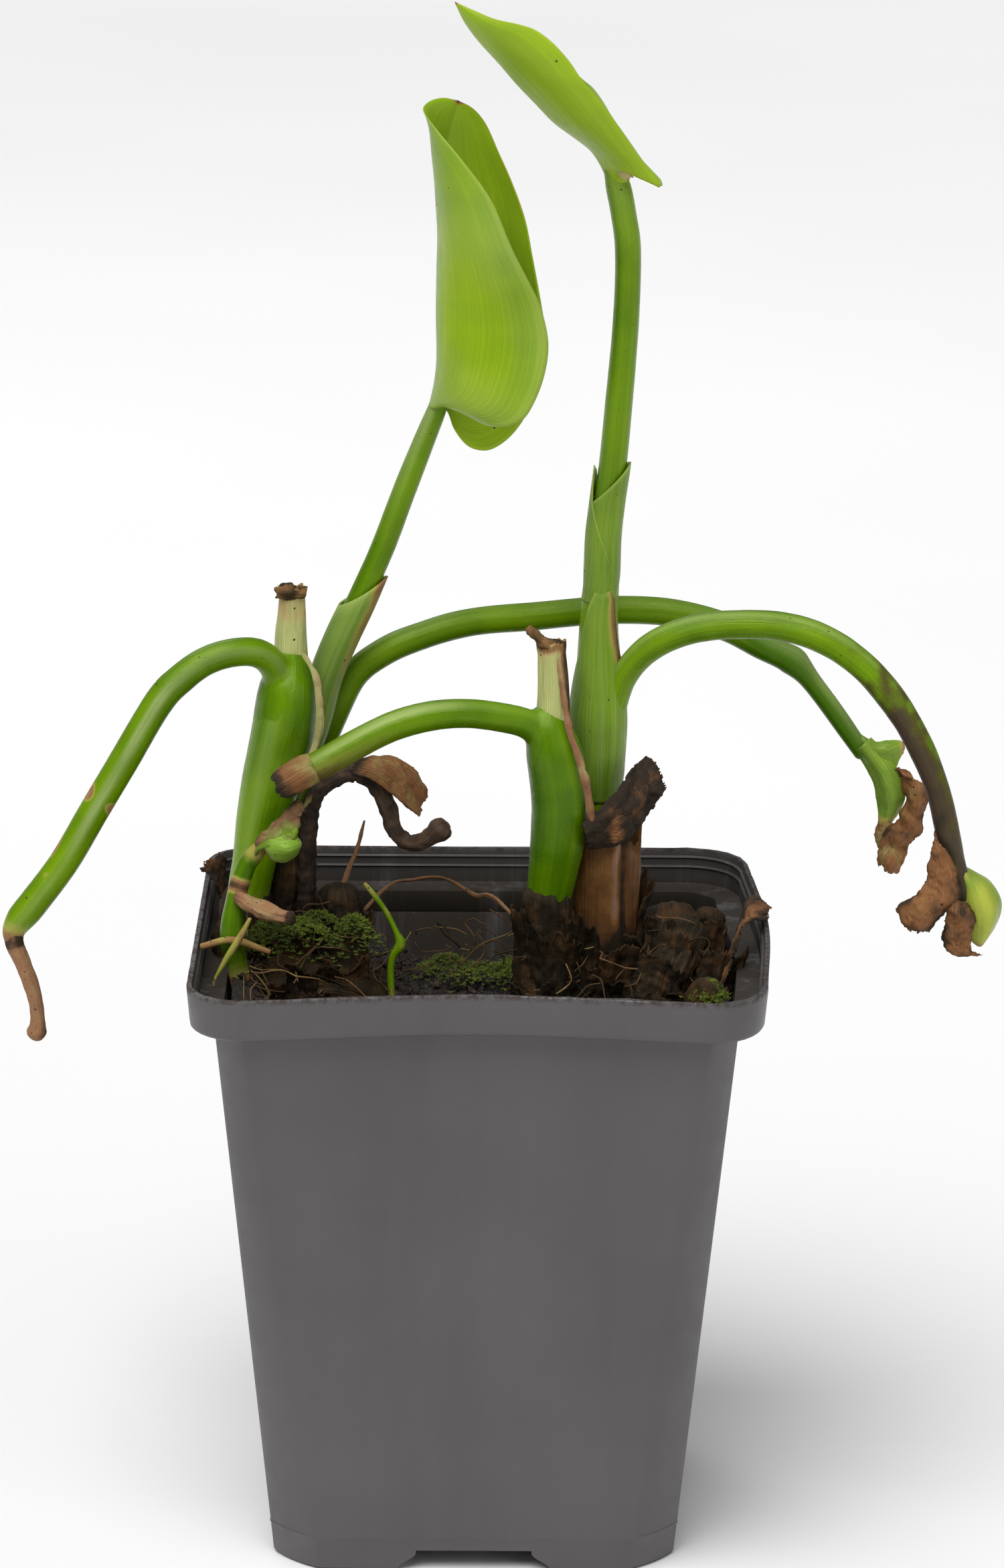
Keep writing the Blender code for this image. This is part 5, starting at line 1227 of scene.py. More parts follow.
def pot_mesh():
    outer = [body_at(0, 0.9), body_at(0.3, 0.3), body_at(0.9)]
    outer += [body_at(SEAM_HEIGHT - 0.3), body_at(SEAM_HEIGHT - 0.1, -0.14), body_at(SEAM_HEIGHT + 0.1, -0.14),
              body_at(SEAM_HEIGHT + 0.3)]
    outer += [body_at(30), body_at(60), body_at(90), body_at(LIP_BOTTOM - 0.6), body_at(LIP_BOTTOM - 0.01, -0.3)]
    outer += [lip_at(LIP_BOTTOM, 1.0), lip_at(LIP_BOTTOM + 0.15, 0.4), lip_at(LIP_BOTTOM + 0.6, 0.05),
              lip_at(LIP_BOTTOM + 1.2), lip_at(RIM_HEIGHT - 0.6), lip_at(RIM_HEIGHT - 0.15, 0.08),
              lip_at(RIM_HEIGHT, 0.3)]
    pot = loft("pot_source", outer)
    inside = loft("pot_inside", inner_profile())
    helpers = [pot, inside]
    for along_x in (False, True):
        floor, gap = channel("channel_floor", WALL, along_x), channel("channel", 0.0, along_x)
        subtract(inside, floor)
        subtract(pot, gap)
        helpers += [floor, gap]
    subtract(pot, inside)
    for x, y in ((1, 1), (1, -1), (-1, 1), (-1, -1), (0, 0)):
        helpers.append(drill("drain", x * DRAIN_SPACING, y * DRAIN_SPACING))
        subtract(pot, helpers[-1])
    bpy.context.view_layer.update()
    evaluated = pot.evaluated_get(bpy.context.evaluated_depsgraph_get())
    mesh = bpy.data.meshes.new_from_object(evaluated)
    for helper in helpers:
        bpy.data.objects.remove(helper)
    mesh.name = "pot_wall"
    shape = bmesh.new()
    shape.from_mesh(mesh)
    bmesh.ops.remove_doubles(shape, verts=shape.verts, dist=1e-6)
    shape.to_mesh(mesh)
    shape.free()
    tone = []
    for vert in mesh.vertices:
        x, y, z = vert.co.x / MM + BOX_CENTRE[0], vert.co.y / MM + BOX_CENTRE[1], vert.co.z / MM
        if z > RIM_HEIGHT - 0.3:
            vert.co.z += 0.28 * MM * noise.noise(Vector((x * 0.9, y * 0.9, 3))) + 0.12 * MM * noise.noise(
                Vector((x * 3.1, y * 3.1, 7)))
        inward = vert.normal.x * x + vert.normal.y * y < 0 and abs(vert.normal.z) < 0.8
        ledge = vert.normal.z > 0.5 and 20 < z < RIM_HEIGHT - 2
        tone.append(1.0 if (inward or ledge) and 1.0 < z < RIM_HEIGHT - 0.2 else 0.0)
    put_values(mesh, [(0, 0, 0)] * len(tone), tone, [0.0] * len(tone), [0.0] * len(tone))
    mesh.shade_smooth()
    mesh.set_sharp_from_angle(angle=math.radians(38))
    return mesh


def mound(x, y, at_x, at_y, height, spread):
    return height * math.exp(-((x - at_x) ** 2 + (y - at_y) ** 2) / spread**2)


def soil_height(x, y):
    lumps = 0.7 * math.sin(0.31 * x + 1.2) * math.cos(0.27 * y) + 0.5 * math.sin(0.53 * y + 0.2 * x)
    level = SOIL_LEVEL + mound(x, y, -50, 8, 7, 20) + mound(x, y, 48, 8, 7, 18)
    return level + mound(x, y, 0, 52, -SOIL_DIP, 26) + lumps


def soil_top(x, y):
    """The crumbly surface over the soil's smooth form, heaped against the side walls."""
    here = Vector((x, y, 0))
    crumbs = 1.1 * noise.noise(here * 0.22) + 0.8 * noise.noise(here * 0.6) + 0.5 * noise.noise(here * 1.5)
    heaps = mound(x, y, -52, -16, 8, 13) + mound(x, y, -52, 8, 6, 13) + mound(x, y, -50, 34, 11, 14)
    heaps += mound(x, y, 51, 28, 6, 13) + mound(x, y, -34, -34, 3, 14)
    return min(soil_height(x, y) + heaps + crumbs, RIM_HEIGHT - 2.5)


def soil_mesh():
    inset = WALL + 0.15
    outline = [(p.x / MM + BOX_CENTRE[0], p.y / MM + BOX_CENTRE[1]) for p in body_at(SOIL_LEVEL - 2, inset)]
    foot = [(p.x / MM + BOX_CENTRE[0], p.y / MM + BOX_CENTRE[1]) for p in body_at(SOIL_FLOOR, inset + 0.6)]
    skin = Skin()
    rings = [[skin.point(place(x, y, SOIL_FLOOR), (x, y, 0), 0.3) for x, y in foot]]
    shares = [1 - i / 46 for i in range(46)]
    for share in shares:
        ring = []
        for x, y in outline:
            x, y = x * share, y * share
            ring.append(skin.point(place(x, y, soil_top(x, y)), (x, y, 0), 0.3))
        rings.append(ring)
    for low, high in zip(rings, rings[1:]):
        skin.band(low, high)
    skin.faces.append(tuple(reversed(rings[0])))
    skin.faces.append(tuple(rings[-1]))
    return skin.mesh("soil_bed")


def in_pot(rng, margin=2.5):
    half = BODY_TOP_WIDTH / 2 - WALL - margin
    return rng.uniform(-half, half), rng.uniform(-half + 4, half)


# Properties


def colour_property(name, text, default):
    return FloatVectorProperty(name=name, description=text, subtype="COLOR", size=3, min=0, max=1, default=default)


class PotSettings(PropertyGroup):
    """The pot's finish."""

    plastic: colour_property("Plastic", "Colour of the moulded plastic", (0.079, 0.072, 0.075))
    dust: colour_property("Dust", "Dry film on the outer wall", (0.125, 0.115, 0.112))
    algae: colour_property("Algae", "Stain on the inner wall", (0.018, 0.012, 0.006))
    rim_dirt: FloatProperty(name="Rim dirt", description="Dirt crust along the rim", default=0.9, min=0, max=1)


class GroundSettings(PropertyGroup):
    """Soil, its crumbs and the moss."""

    soil: colour_property("Soil", "Moist potting mix", (0.02, 0.014, 0.01))
    bark: colour_property("Bark", "Light crumbs of bark", (0.07, 0.038, 0.02))
    moss_dark: colour_property("Moss feet", "Shaded foot of the moss", (0.012, 0.028, 0.004))
    moss_light: colour_property("Moss tips", "Lit tips of the moss", (0.2, 0.27, 0.015))
    crumbs: IntProperty(name="Crumbs", description="Loose crumbs on the soil", default=5200, min=0, max=9000)
    moss_tufts: IntProperty(name="Moss tufts", description="Tufts on each cushion", default=1100, min=0, max=3000)


class PlantSettings(PropertyGroup):
    """Colours of the living and dead tissue."""

    stalk_deep: colour_property("Stalk, deep", "Shaded green of the stalks", (0.045, 0.125, 0.0))
    stalk_light: colour_property("Stalk, light", "Light green of the stalks", (0.2, 0.36, 0.0))
    leaf_deep: colour_property("Leaf, deep", "Outer green of the young leaves", (0.13, 0.27, 0.004))
    leaf_light: colour_property("Leaf, light", "Inner yellow-green of the young leaves", (0.33, 0.48, 0.006))
    # Colour of the pale waxy film, also used for the painted sheen and highlight stripes.
    bloom_and_sheen: colour_property("Bloom", "Pale waxy bloom on the green parts", (0.36, 0.44, 0.17))
    dry: colour_property("Dry tissue", "Tan of dried tissue", (0.32, 0.15, 0.07))
    dark: colour_property("Rotten tissue", "Dark brown of decayed tissue", (0.022, 0.013, 0.011))
    leaf_thickness: FloatProperty(
        name="Leaf thickness", description="Thickness of the young leaves", default=0.55 * MM, unit="LENGTH"
    )


class StageSettings(PropertyGroup):
    """Floor, light and lens."""

    floor: colour_property("Floor", "Colour of the floor", (0.86, 0.86, 0.86))
    key_power: FloatProperty(name="Overhead light", description="Strength of the overhead light", default=3.0)
    fill_power: FloatProperty(name="Fill light", description="Power of the side light", default=2.5, unit="POWER")
    lens: FloatProperty(name="Lens", description="Focal length", default=130.218, unit="CAMERA")


# Operators


class PICKERELWEED_OT_pot(Operator):
    """Make the moulded pot with its ridges, seam, feet and drain holes"""

    bl_idname = "pickerelweed.make_pot"
    bl_label = "Make Pot"

    def execute(self, context):
        settings = context.scene.pickerelweed_pot
        piece("pot_wall", pot_mesh(), pot_material(settings), "pot")
        return {"FINISHED"}


class PICKERELWEED_OT_soil(Operator):
    """Make the soil bed and its loose crumbs"""

    bl_idname = "pickerelweed.make_soil"
    bl_label = "Make Soil"

    def execute(self, context):
        settings = context.scene.pickerelweed_ground
        material = soil_material(settings)
        piece("soil_bed", soil_mesh(), material, "soil")
        rng = random.Random(11)
        grit = Skin()
        for _ in range(settings.crumbs):
            x, y = in_pot(rng)
            size = 0.25 + 1.1 * rng.random() ** 3
            tone = rng.choice((0.2, 0.3, 0.4, 0.5, 0.75, 0.95))
            grit.chip(place(x, y, soil_top(x, y) + size * 0.2), size, rng, tone)
        piece("soil_crumbs", grit.mesh("soil_crumbs"), material)
        return {"FINISHED"}


class PICKERELWEED_OT_crowns(Operator):
    """Make the old leaf bases of both shoots, the decayed clump and the stump"""

    bl_idname = "pickerelweed.make_crowns"
    bl_label = "Make Old Leaf Bases"

    def execute(self, context):
        material = tissue_material(
            "old_leaf_bases", (0.03, 0.045, 0.006), (0.1, 0.12, 0.015), fineness=5.0, vein_depth=0.6, roughness=0.3,
            dry=(0.075, 0.034, 0.011), dark=(0.01, 0.007, 0.004), yellowed=(0.15, 0.11, 0.03), unevenness=0.6,
            relief=0.8, translucency=0.0, specks=0.3, spacing=1.4, gloss=0.35, shine=(1, 0.85, 0.6),
        )
        for name, node, routes, husks, seed in (
            ("left_leaf_bases", "left_root_crown", LEFT_CROWN, LEFT_HUSKS, 1.0),
            ("right_leaf_bases", "right_root_crown", RIGHT_CROWN, RIGHT_HUSKS, 2.0),
            ("decayed_bases", "decayed_clump", DECAYED_CLUMP, CLUMP_HUSKS, 3.0),
        ):
            def rotten(share, angle, spot):
                return 0.5 + 0.4 * wave(spot, 2.5, seed), min(max(0.86 + 0.25 * wave(spot, 5, seed), 0), 1)

            skin = Skin()
            for k, route in enumerate(routes):
                skin.tube(route, rotten, around=36, step=0.8, shape=fibrous(0.2, 14, seed + k))
            for k, (foot, top, radius, facing, spread, decay) in enumerate(husks):
                husk(skin, foot, top, radius, facing, spread, decay, seed * 10 + k)
            piece(name, skin.mesh(name), material, node)

        def mossy(share, angle, spot):
            return 0.6, 0.72 + 0.25 * wave(spot, 3, 5)

        stump = Skin().tube(MOSSY_STUMP, mossy, around=30, step=0.6, shape=fibrous(0.22, 12, 8))
        piece("front_stump", stump.mesh("front_stump"), material, "mossy_stump")
        return {"FINISHED"}


def stalk_finish(plant, name="waxy_stalk", **changes):
    values = dict(deep=plant.stalk_deep, light=plant.stalk_light, fineness=9.0, vein_depth=0.12, roughness=0.22,
                  dry=plant.dry, dark=plant.dark, relief=0.18, pale=plant.bloom_and_sheen)
    values.update(changes)
    return tissue_material(name, **values)


def stalk(name, node, route, paint, material, around=28, step=0.7, shape=None):
    """One stalk along one route."""
    mesh = Skin().tube(route, paint, around=around, step=step, shape=shape).mesh(name)
    piece(name, mesh, material, node)


def topside(angle, leftward):
    """How much a place on an arching stalk faces up: 1 on top and 0 below."""
    up = math.sin(angle) if leftward else -math.sin(angle)
    return smoothstep(-0.1, 0.9, up)


class PICKERELWEED_OT_left_shoot(Operator):
    """Make the stems and stalks of the left shoot"""

    bl_idname = "pickerelweed.make_left_shoot"
    bl_label = "Make Left Shoot"

    def execute(self, context):
        plant = context.scene.pickerelweed_plant
        waxy_and_sheen = stalk_finish(plant)

        # Painted light: the left side of the stem is painted lighter than the right, and the sheen is a painted
        # highlight stripe down its front-left.
        def stem(share, angle, spot):
            lit = keyed((0, 0.95), (0.25, 0.75), (0.55, 0.4), (1, 0.3))(share)
            sheen = 0.2 * smoothstep(0.35, 0.0, abs(angle - TAU * 0.93)) * smoothstep(0.1, 0.5, share)
            return lit - 0.15 * math.sin(angle), keyed((0, 0.3), (0.3, 0.06), (0.5, 0.0), (1, 0.0))(share), sheen

        # The pale stripe along the top-front of the arch is a painted highlight; the kink and the scuffs are marks of
        # the stalk itself.
        def arch(share, angle, spot):
            kink = keyed((0, 0), (0.94, 0.0), (0.97, 0.3), (1, 0.8))(share)
            scuff = 0.5 * smoothstep(0.42, 0.55, wave(spot, 6, 11)) * smoothstep(0.5, 0.6, share)
            stripe = smoothstep(0.5, 0.12, abs(angle - 0.75)) * (0.75 + 0.4 * wave(spot, 7, 5))
            wax_and_sheen = keyed((0, 0.1), (0.3, 0.35), (0.4, 0.9), (0.66, 0.8), (0.8, 0.3), (1, 0.2))(share) * stripe
            return keyed((0, 0.35), (0.3, 0.35), (0.6, 0.45), (1, 0.6))(share), max(kink, scuff), wax_and_sheen

        def pinch(share, angle, spot):
            squeeze = 1 - 0.22 * smoothstep(0.93, 0.99, share) * (0.5 + 0.5 * math.cos(2 * angle))
            return squeeze * (1 + 0.02 * wave(spot, 9, 2))

        skin = Skin().tube(LEFT_STEM, stem, shape=dented(0.03, 1)).tube(LEFT_ARCH, arch, shape=pinch)
        mesh = melted("left_bent_stalk", skin, 0.5, 9, [(LEFT_STEM, stem), (LEFT_ARCH, arch)])
        piece("left_bent_stalk", mesh, waxy_and_sheen, "left_arching_stalk")

        # The pale film on the upper side, strongest near the end, is painted sheen.
        def back(share, angle, spot):
            scuff = 0.5 * smoothstep(0.02, 0.0, abs(share - 0.745)) * smoothstep(-0.3, 0.3, math.sin(angle))
            wax_and_sheen = keyed((0, 0), (0.4, 0.1), (0.75, 0.15), (0.9, 0.5), (1, 0.3))(share) * topside(angle, False)
            return keyed((0, 0.5), (0.4, 0.5), (0.75, 0.35), (0.84, 0.05), (1, 0.0))(share), scuff, wax_and_sheen

        def notched(share, angle, spot):
            return 1 + 0.16 * math.exp(-(((share - 0.87) / 0.014) ** 2)) + 0.03 * wave(spot, 8, 4)

        stalk("back_bent_stalk", "back_arching_stalk", BACK_ARCH, back, waxy_and_sheen, shape=notched)

        # Painted light: the right side of the stalk is painted lighter than the left.
        def petiole(share, angle, spot):
            wax_and_sheen = 0.6 * smoothstep(0.5, 0.95, share) * smoothstep(1.6, 0.2, abs(angle - math.pi * 1.7))
            return keyed((0, 0.5), (0.5, 0.45), (1, 0.55))(share) + 0.15 * math.sin(angle), 0.0, wax_and_sheen

        stalk("leaf_one_stalk", "leaf_one_petiole", LEAF_ONE_PETIOLE, petiole, waxy_and_sheen, shape=dented(0.03, 3))

        def small(share, angle, spot):
            node = math.exp(-(((share - 0.74) / 0.035) ** 2))
            ends = keyed((0, 1), (0.16, 0.9), (0.3, 0.2), (0.4, 0), (0.85, 0), (1, 0.5))(share)
            return 0.2, min(0.9 * node + ends, 1)

        stalk("small_stem", "small_left_stem", SMALL_LEFT_STEM, small, waxy_and_sheen, around=20, shape=dented(0.12, 7))

        leafy = stalk_finish(plant, "green_leaf_remnant", translucency=0.1, fineness=5.0, vein_depth=0.3)

        def fork(u, v, side, spot):
            edge = smoothstep(0.12, 0.0, min(u, 1 - u))
            return 0.45 + 0.4 * u + 0.3 * edge, min(0.5 * smoothstep(0.8, 1.0, v) + 0.12 * edge, 1), 0.25 * (1 - edge)

        skin = Skin()
        for k, cage in enumerate((FORK_UPPER, FORK_LOWER)):
            skin.shell(crumpled(cage, 40, 24, 0.2, 21.0 + k), 1.3, fork, fibres=5)
        piece("back_fork", skin.mesh("back_fork"), leafy, "back_leaf_remnant")
        return {"FINISHED"}


class PICKERELWEED_OT_right_shoot(Operator):
    """Make the stems and stalks of the right shoot"""

    bl_idname = "pickerelweed.make_right_shoot"
    bl_label = "Make Right Shoot"

    def execute(self, context):
        plant = context.scene.pickerelweed_plant
        waxy_and_sheen = stalk_finish(plant, "waxy_stalk_right", specks=0.1, dry=(0.12, 0.07, 0.02), yellowed=(0.17, 0.2, 0.02))

        # Painted light: the right side of the stem is painted lighter than the left; the decay at the foot is real.
        def stem(share, angle, spot):
            lit = keyed((0, 0.6), (0.25, 0.35), (0.6, 0.25), (1, 0.3))(share)
            return lit + 0.1 * math.sin(angle), keyed((0, 0.75), (0.12, 0.45), (0.3, 0.05), (0.4, 0), (1, 0))(share)

        # The olive ageing towards the tip is real, but it is laid four times thicker on the underside as painted shade,
        # and the pale stripe along the top is a painted highlight.
        def arch(share, angle, spot):
            under = 1 - topside(angle, True)
            olive = keyed((0, 0), (0.55, 0), (0.85, 0.26), (1, 0.5))(share) * (0.3 + 0.9 * under)
            stripe = smoothstep(0.5, 0.1, abs(angle - 1.1)) * (0.8 + 0.4 * wave(spot, 6, 5))
            wax_and_sheen = keyed((0, 0.05), (0.4, 0.15), (0.6, 0.7), (0.85, 0.6), (1, 0.2))(share) * stripe
            return keyed((0, 0.35), (0.4, 0.4), (1, 0.35))(share), olive, wax_and_sheen

        skin = Skin().tube(FRONT_STEM, stem, shape=dented(0.04, 3)).tube(FRONT_ARCH, arch, shape=dented(0.03, 8))
        mesh = melted("front_bent_stalk", skin, 0.5, 9, [(FRONT_STEM, stem), (FRONT_ARCH, arch)])
        piece("front_bent_stalk", mesh, waxy_and_sheen, "front_arching_stalk")

        # Painted light: the sheen is a painted highlight stripe down the front-right of the upper stem, and the right
        # side is painted lighter than the left.
        def main(share, angle, spot):
            sheen = 0.25 * smoothstep(0.5, 0.1, abs(angle - 0.3)) * smoothstep(0.35, 0.7, share)
            return keyed((0, 0.85), (0.5, 0.6), (1, 0.5))(share) + 0.1 * math.sin(angle), 0.0, sheen

        stalk("upright_stem", "main_stem", MAIN_STEM, main, waxy_and_sheen, around=34, shape=dented(0.03, 9))

        dying_stalk = stalk_finish(
            plant, "darkening_stalk", yellowed=(0.075, 0.065, 0.012), dry=(0.06, 0.036, 0.026),
            dark=(0.02, 0.012, 0.011),
            unevenness=0.42, dry_roughness=0.1, banding=0.3, vein_depth=0.2, specks=0.12, relief=0.3,
        )

        # The darkening towards the tip and the spots are real decay; the upper side is painted less decayed, so
        # lighter, as painted light, and the pale stripe along the top of the green part is a painted highlight.
        def right(share, angle, spot):
            fade = keyed((0, 0), (0.52, 0), (0.64, 0.22), (0.7, 0.5), (0.8, 0.68), (0.92, 0.8), (1, 0.7))(share)
            outer = smoothstep(-0.2, 0.9, math.cos(angle + 1.9))
            olive = 0.36 * outer * smoothstep(0.62, 0.75, share) * smoothstep(1.0, 0.86, share)
            spots = 0.2 * wave(spot, 3.2, 2) * smoothstep(0.5, 0.6, share)
            stripe = smoothstep(0.6, 0.1, abs(angle - TAU + 1.2)) * (0.75 + 0.4 * wave(spot, 7, 5))
            wax_and_sheen = keyed((0, 0), (0.2, 0.4), (0.55, 0.4), (0.7, 0.0), (1, 0))(share) * stripe
            return keyed((0, 0.55), (0.5, 0.45), (1, 0.4))(share), min(max(fade - olive + spots, 0), 1), wax_and_sheen

        stalk("right_bent_stalk", "right_arching_stalk", RIGHT_ARCH, right, dying_stalk, shape=dented(0.06, 10))

        # Painted light: the right side of the stalk is painted lighter than the left.
        def petiole(share, angle, spot):
            wax_and_sheen = 0.25 * smoothstep(0.7, 1.0, share)
            return keyed((0, 0.45), (0.5, 0.4), (0.9, 0.5), (1, 0.6))(share) + 0.15 * math.sin(angle), 0.0, wax_and_sheen

        stalk("leaf_two_stalk", "leaf_two_petiole", LEAF_TWO_PETIOLE, petiole, waxy_and_sheen, shape=dented(0.02, 11))
        return {"FINISHED"}


def sleeve(skin, stations, width, end, paint, rows=58, cols=48, thickness=0.3, start=0.0):
    """A sheath round a route: width(angle, share of its height) times the route's radius, with its
    top edge at share end(angle in degrees from -180 to 180) of the route."""
    frames = frames_along(stations, 0.5)
    grid = []
    for i in range(rows + 1):
        row = []
        for j in range(cols):
            angle = TAU * j / cols
            degrees = (math.degrees(angle) + 180) % 360 - 180
            at = (start + (end(degrees) - start) * i / rows) * (len(frames) - 1)
            k = min(max(int(at), 0), len(frames) - 2)
            low, high, t = frames[k], frames[k + 1], at - k
            centre = low[0].lerp(high[0], t)
            radius = low[1] + (high[1] - low[1]) * t
            out = low[3] * math.cos(angle) + low[4] * math.sin(angle)
            row.append(centre + out * radius * width(angle, i / rows) * MM)
        grid.append(row)
    return skin.shell(grid, thickness, paint, closed=True)


def around_noise(angle, turns, seed):
    """Noise that closes up round a stalk."""
    return noise.noise(Vector((turns * math.cos(angle), turns * math.sin(angle), seed)))


class PICKERELWEED_OT_sheaths(Operator):
    """Make the green sheaths that wrap the young leaf stalks, and the two pale stubs"""

    bl_idname = "pickerelweed.make_sheaths"
    bl_label = "Make Sheaths And Stubs"

    def execute(self, context):
        plant = context.scene.pickerelweed_plant
        sheath = stalk_finish(plant, "veined_sheath", fineness=12.0, vein_depth=0.25, roughness=0.3, relief=0.3,
                              specks=0.08, translucency=0.08)

        # The pale streaks are the waxy film with painted sheen on it, and the right side of each sheath is painted
        # lighter as painted light.
        def veiled(wax_and_sheen, browning):
            def paint(u, v, side, spot):
                rim = smoothstep(0.95, 1.0, v)
                streak = 0.5 + 0.5 * around_noise(TAU * u, 4, 2)
                brown = browning * smoothstep(0.14, 0.02, abs(u - 0.17)) * smoothstep(0.55, 0.95, v)
                return 0.5 + 0.4 * rim + 0.1 * math.sin(TAU * u), min(0.14 * rim + brown, 1), wax_and_sheen * streak + 0.3 * rim
            return paint

        def growing(low, high):
            return lambda angle, v: low + (high - low) * smoothstep(0.0, 0.25, v)

        skin = Skin()
        sleeve(skin, LEAF_ONE_SHEATH, lambda angle, v: 1.0 + 0.12 * v * v,
               lambda degrees: 0.937 + 0.055 * math.sin(math.radians(degrees)), veiled(0.7, 0.45))
        piece("leaf_one_wrap", skin.mesh("leaf_one_wrap"), sheath, "leaf_one_sheath")

        skin = Skin()
        sleeve(skin, UPPER_SHEATH, growing(0.97, 1.05),
               lambda degrees: 0.745 + 0.135 * math.sin(math.radians(degrees)), veiled(0.35, 0.0))
        sleeve(skin, UPPER_SHEATH, growing(0.97, 1.12),
               keyed((-180, 0.5), (-120, 0.8), (-90, 0.84), (-60, 0.62), (-10, 0.42), (25, 0.25), (40, 0.1),
                     (90, 0.03), (130, 0.2), (180, 0.5)), veiled(0.35, 0.0))
        sleeve(skin, MAIN_STEM, growing(0.97, 1.05),
               keyed((-180, 0.6), (-90, 0.68), (-60, 0.78), (-35, 0.93), (-15, 0.985), (25, 0.98), (45, 0.95),
                     (60, 0.8), (90, 0.68), (180, 0.6)), veiled(0.4, 0.8), start=0.3)
        piece("upper_wrap", skin.mesh("upper_wrap"), sheath, "upper_sheath")

        cream = tissue_material(
            "drying_stub", plant.stalk_deep, (0.5, 0.52, 0.2), fineness=10.0, vein_depth=0.2, roughness=0.45,
            yellowed=(0.52, 0.4, 0.17), dry=(0.3, 0.15, 0.06), dark=(0.04, 0.022, 0.014), relief=0.5, unevenness=0.4,
        )
        for name, node, route, tip_cage, seed, browning, tan_from in (
            ("left_pale_stub", "left_stub", LEFT_STUB, LEFT_STUB_TIP, 3.0, 0.0, 0.3),
            ("right_pale_stub", "right_stub", RIGHT_STUB, RIGHT_STUB_TIP, 5.0, 0.9, 0.12),
        ):
            def dried(u, v, side, spot):
                tip = (tan_from + 0.4 * smoothstep(0.86, 0.97, v)) * smoothstep(0.45, 0.85, v)
                tip *= 1 + 0.7 * wave(spot, 3, seed)
                edge = browning * smoothstep(0.12, 0.03, abs(u - 0.2)) * smoothstep(0.1, 0.4, v)
                return 0.1 + 1.0 * smoothstep(0.0, 0.4, v), min(max(tip, edge), 1)

            def crumpled_top(angle, v):
                flare = smoothstep(0.88, 1.0, v) * (0.05 + 0.5 * around_noise(angle, 1.6, seed))
                return 1.0 + 0.14 * around_noise(angle, 2.4, v * 2 + seed) * smoothstep(0.2, 0.7, v) + flare

            def ragged(degrees):
                angle = math.radians(degrees)
                return 0.95 + 0.05 * around_noise(angle, 2, seed) + 0.03 * around_noise(angle, 6, seed)

            skin = Skin()
            sleeve(skin, route, crumpled_top, ragged, dried, thickness=0.6, cols=60)
            skin.shell(crumpled(tip_cage, 34, 24, 0.9, seed, 1.6), 0.4, aged_paint(0.72, 0.25, 2, seed), fibres=5)
            piece(name, skin.mesh(name), cream, node)
        return {"FINISHED"}


def blade_grid(lines, rows, cols):
    """A rolled blade between its five lines, from the front margin over the midrib to the back margin."""
    edge = {key: evenly(points, rows) for key, points in lines.items()}
    grid = []
    for i in range(rows + 1):
        row = []
        for j in range(cols + 1):
            across = 2 * j / cols - 1
            half = "front" if across < 0 else "back"
            t = abs(across)
            a, b, c = edge["midrib"][i], edge[half + " bulge"][i], edge[half + " margin"][i]
            spot = (1 - t) ** 2 * a + 2 * t * (1 - t) * b + t * t * c
            row.append(place(*spot))
        grid.append(row)
    return grid


class PICKERELWEED_OT_young_leaves(Operator):
    """Make the two rolled young leaves"""

    bl_idname = "pickerelweed.make_young_leaves"
    bl_label = "Make Young Leaves"

    def execute(self, context):
        plant = context.scene.pickerelweed_plant
        thickness = plant.leaf_thickness / MM
        leaf = tissue_material(
            "young_leaf", plant.leaf_deep, plant.leaf_light, fineness=6.0, vein_depth=0.16, roughness=0.3,
            dry=plant.dry, dark=(0.05, 0.025, 0.012), yellowed=(0.42, 0.36, 0.03), relief=0.2, translucency=0.1,
            specks=0.09, spacing=2.2, banding=0.12, pale=plant.bloom_and_sheen,
        )
        for name, node, lines, inner, wax_and_sheen in (
            ("leaf_one_roll", "leaf_one_blade", LEAF_ONE_LINES, 1, 0.45),
            ("leaf_two_roll", "leaf_two_blade", LEAF_TWO_LINES, -1, 0.55),
        ):
            # On the outer side the pale film is painted sheen, thinner along a lighter band on the front half; the
            # margins are paler.
            def paint(u, v, side, spot):
                margin = smoothstep(0.03, 0.0, min(u, 1 - u))
                inside = side == inner
                edge = 0.3 * smoothstep(0.012, 0.0, 1 - u) * smoothstep(0.6, 0.8, v)
                tip = 0.8 * smoothstep(0.975, 1.0, v)
                if inside:
                    return min(0.72 + 0.2 * u + 0.3 * margin, 1), max(tip, edge), 0.08
                band = smoothstep(0.34, 0.06, abs(u - 0.26)) * smoothstep(0.9, 0.4, v)
                cloud = 0.55 + 0.6 * wave(spot, 14, 3) - 0.5 * band
                return min(0.2 + 0.5 * band + 0.5 * margin, 1), max(tip, edge), max(wax_and_sheen * cloud, 0) + 0.3 * margin

            def thin(u, v):
                thinning = 1 - 0.6 * smoothstep(0.8, 1, v)
                return thickness * (0.4 + 0.6 * smoothstep(0.0, 0.12, min(u, 1 - u))) * thinning

            skin = Skin()
            skin.shell(blade_grid(lines, 110, 84), thin, paint, fibres=30.0, length=0.015)
            piece(name, skin.mesh(name), leaf, node)
        return {"FINISHED"}


def aged_paint(decay, spread, size, seed, edge=0.2):
    """Paint for a dead sheet: darker at its edges and unevenly decayed."""
    def paint(u, v, side, spot):
        border = smoothstep(0.2, 0.0, min(u, 1 - u))
        return 0.5, min(max(decay + edge * border + spread * wave(spot, size, seed) - 0.04 * side, 0), 1)
    return paint


